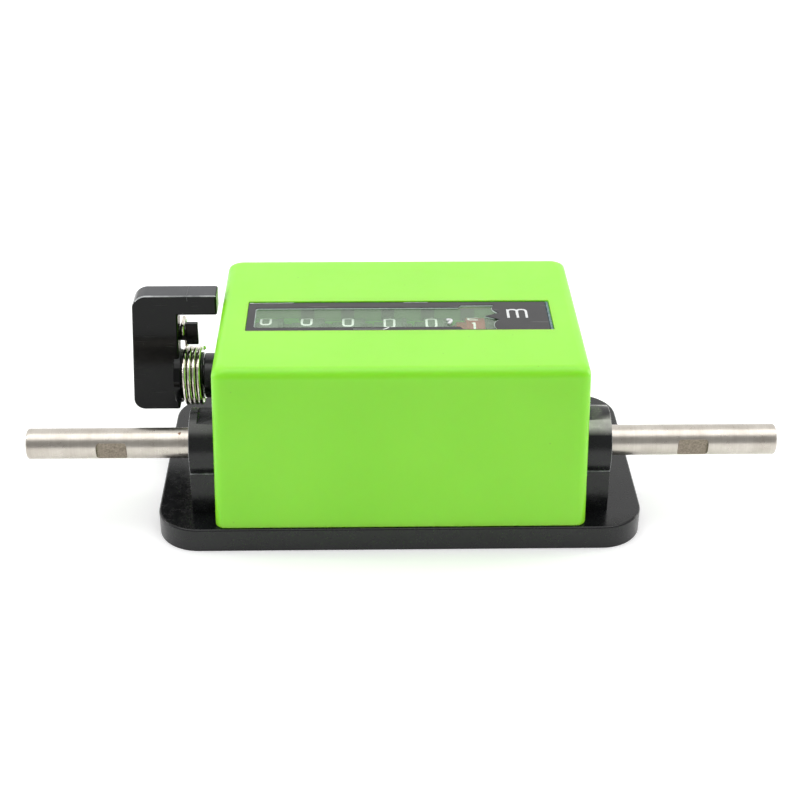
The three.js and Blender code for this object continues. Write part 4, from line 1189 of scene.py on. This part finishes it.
def make_marks(level):
    """The unit letter, the decimal comma, a chip and fine scratches on the film."""
    def mark(corners, centre, half, width, corner, layer=0, low=-0.2):
        """One stroke: corners on a grid from -1 to 1, the grid's middle and half size, and its width."""
        path = rounded_path([(u * half[0], v * half[1]) for u, v in corners], corner, False, 0.2)
        return ribbon("mark", path, False, width,
                      lambda u, v, h: (centre[0] + u, centre[1] + v, level + h), 0.03 + 0.012 * layer, low)

    letter, comma = ((30.9, -1.53), (2.4, 2.35)), (12.85, -5.45)
    marks = {
        "unit_letter": [
            mark([(-1.14, 0.9), (-1, 0.9), (-1, -1)], *letter, 0.68, 0.1),
            mark([(-1, -0.3), (-1, 1), (0.02, 1), (0.02, -1)], *letter, 0.62, 1.6, 1),
            mark([(0, -0.3), (0, 1), (1, 1), (1, -1)], *letter, 0.64, 1.6, 2),
        ],
        "decimal_comma": [
            mark([(-0.75, 0.7), (0.5, 1), (0.9, 0.1), (-0.2, -1)], comma, (0.75, 1.15), 0.75, 0.7, 0, -0.35),
            mark([(-0.6, 0.6), (0.5, 0.7), (0.4, 0.1)], (comma[0], -5.4), (0.75, 1.2), 0.9, 0.3, 1, -0.35),
        ],
        "film_chip": [
            mark([(-1, -1), (0.1, -0.2), (1, 1)], (-3.6, -9.5), (0.75, 0.55), 0.4, 0.2, 3),
            mark([(-1, -0.4), (1, 0.5)], (-39.0, 5.2), (0.5, 0.12), 0.2, 0.1, 3),
        ],
        "film_scratches": [
            mark([(-1, -0.6), (-0.2, 0.2), (0.5, 0.1), (1, 0.9)], (-33.5, 5.15), (5.6, 0.2), 0.14, 0.3, 3),
            mark([(-1, 0), (1, 0.3)], (4.5, 5.2), (3.2, 0.3), 0.1, 0.1, 3),
            mark([(-1, 0.2), (1, -0.2)], (-8.0, -9.9), (4.0, 0.3), 0.08, 0.1, 3),
        ],
    }
    for name, strokes in marks.items():
        placed(merged(name, strokes), MATERIAL["film_ink"], HOUSING, "mask_print")


# ---------------------------------------------------------------- CAD nodes that stay
KEPT = {
    "bright": ["wheel_axle", "carry_axle", "front_tie_rod", "idler_stud", "reset_rod", "lever_pin"],
    "dark_steel": ["wheel_axle_clip", "carry_axle_clip", "idler_clip", "shaft_clip_left",
                   "shaft_clip_right", "gear_set_screw", "reset_rod_clip"],
    "screw": [f"{kind}_screw_{i}" for kind in ("cover", "frame") for i in range(1, 5)],
    "bronze": ["bearing_bush_left", "bearing_bush_right"],
    "brass": ["drive_gear"],
    "black_wheel": ["input_gear"],
    "rod_glow": ["rear_tie_rod"],
    "comb": ["brake_comb"],
    "acetal": ["idler_spacer", "axle_spacer", "idler_gear", "reset_comb"]
    + [f"carry_pinion_{i}" for i in range(1, 6)],
    "frame": ["right_frame"],
}


def finish_kept_nodes():
    """The CAD nodes that show as they are get their finish."""
    for finish, nodes in KEPT.items():
        for node in nodes:
            for slot in frame["nodes"][node].material_slots:
                slot.link = "OBJECT"
                slot.material = MATERIAL[finish]


def make_floor():
    """A floor wide enough that its edge stays out of sight."""
    edge = 30000
    floor = along_z("floor", [(-edge, -edge), (edge, -edge), (edge, edge), (-edge, edge)], -2, 0)
    floor.data.materials.append(MATERIAL["floor"])


make_stage()
make_floor()
make_cover()
make_base()
make_shaft()
make_lever()
make_spring()
make_frame_hub()
for number, (node, body, offset, shown, lean) in enumerate(WHEELS):
    make_wheel(number, node, body)
    make_numerals(number, node, body, offset, shown, lean)
make_window()
finish_kept_nodes()
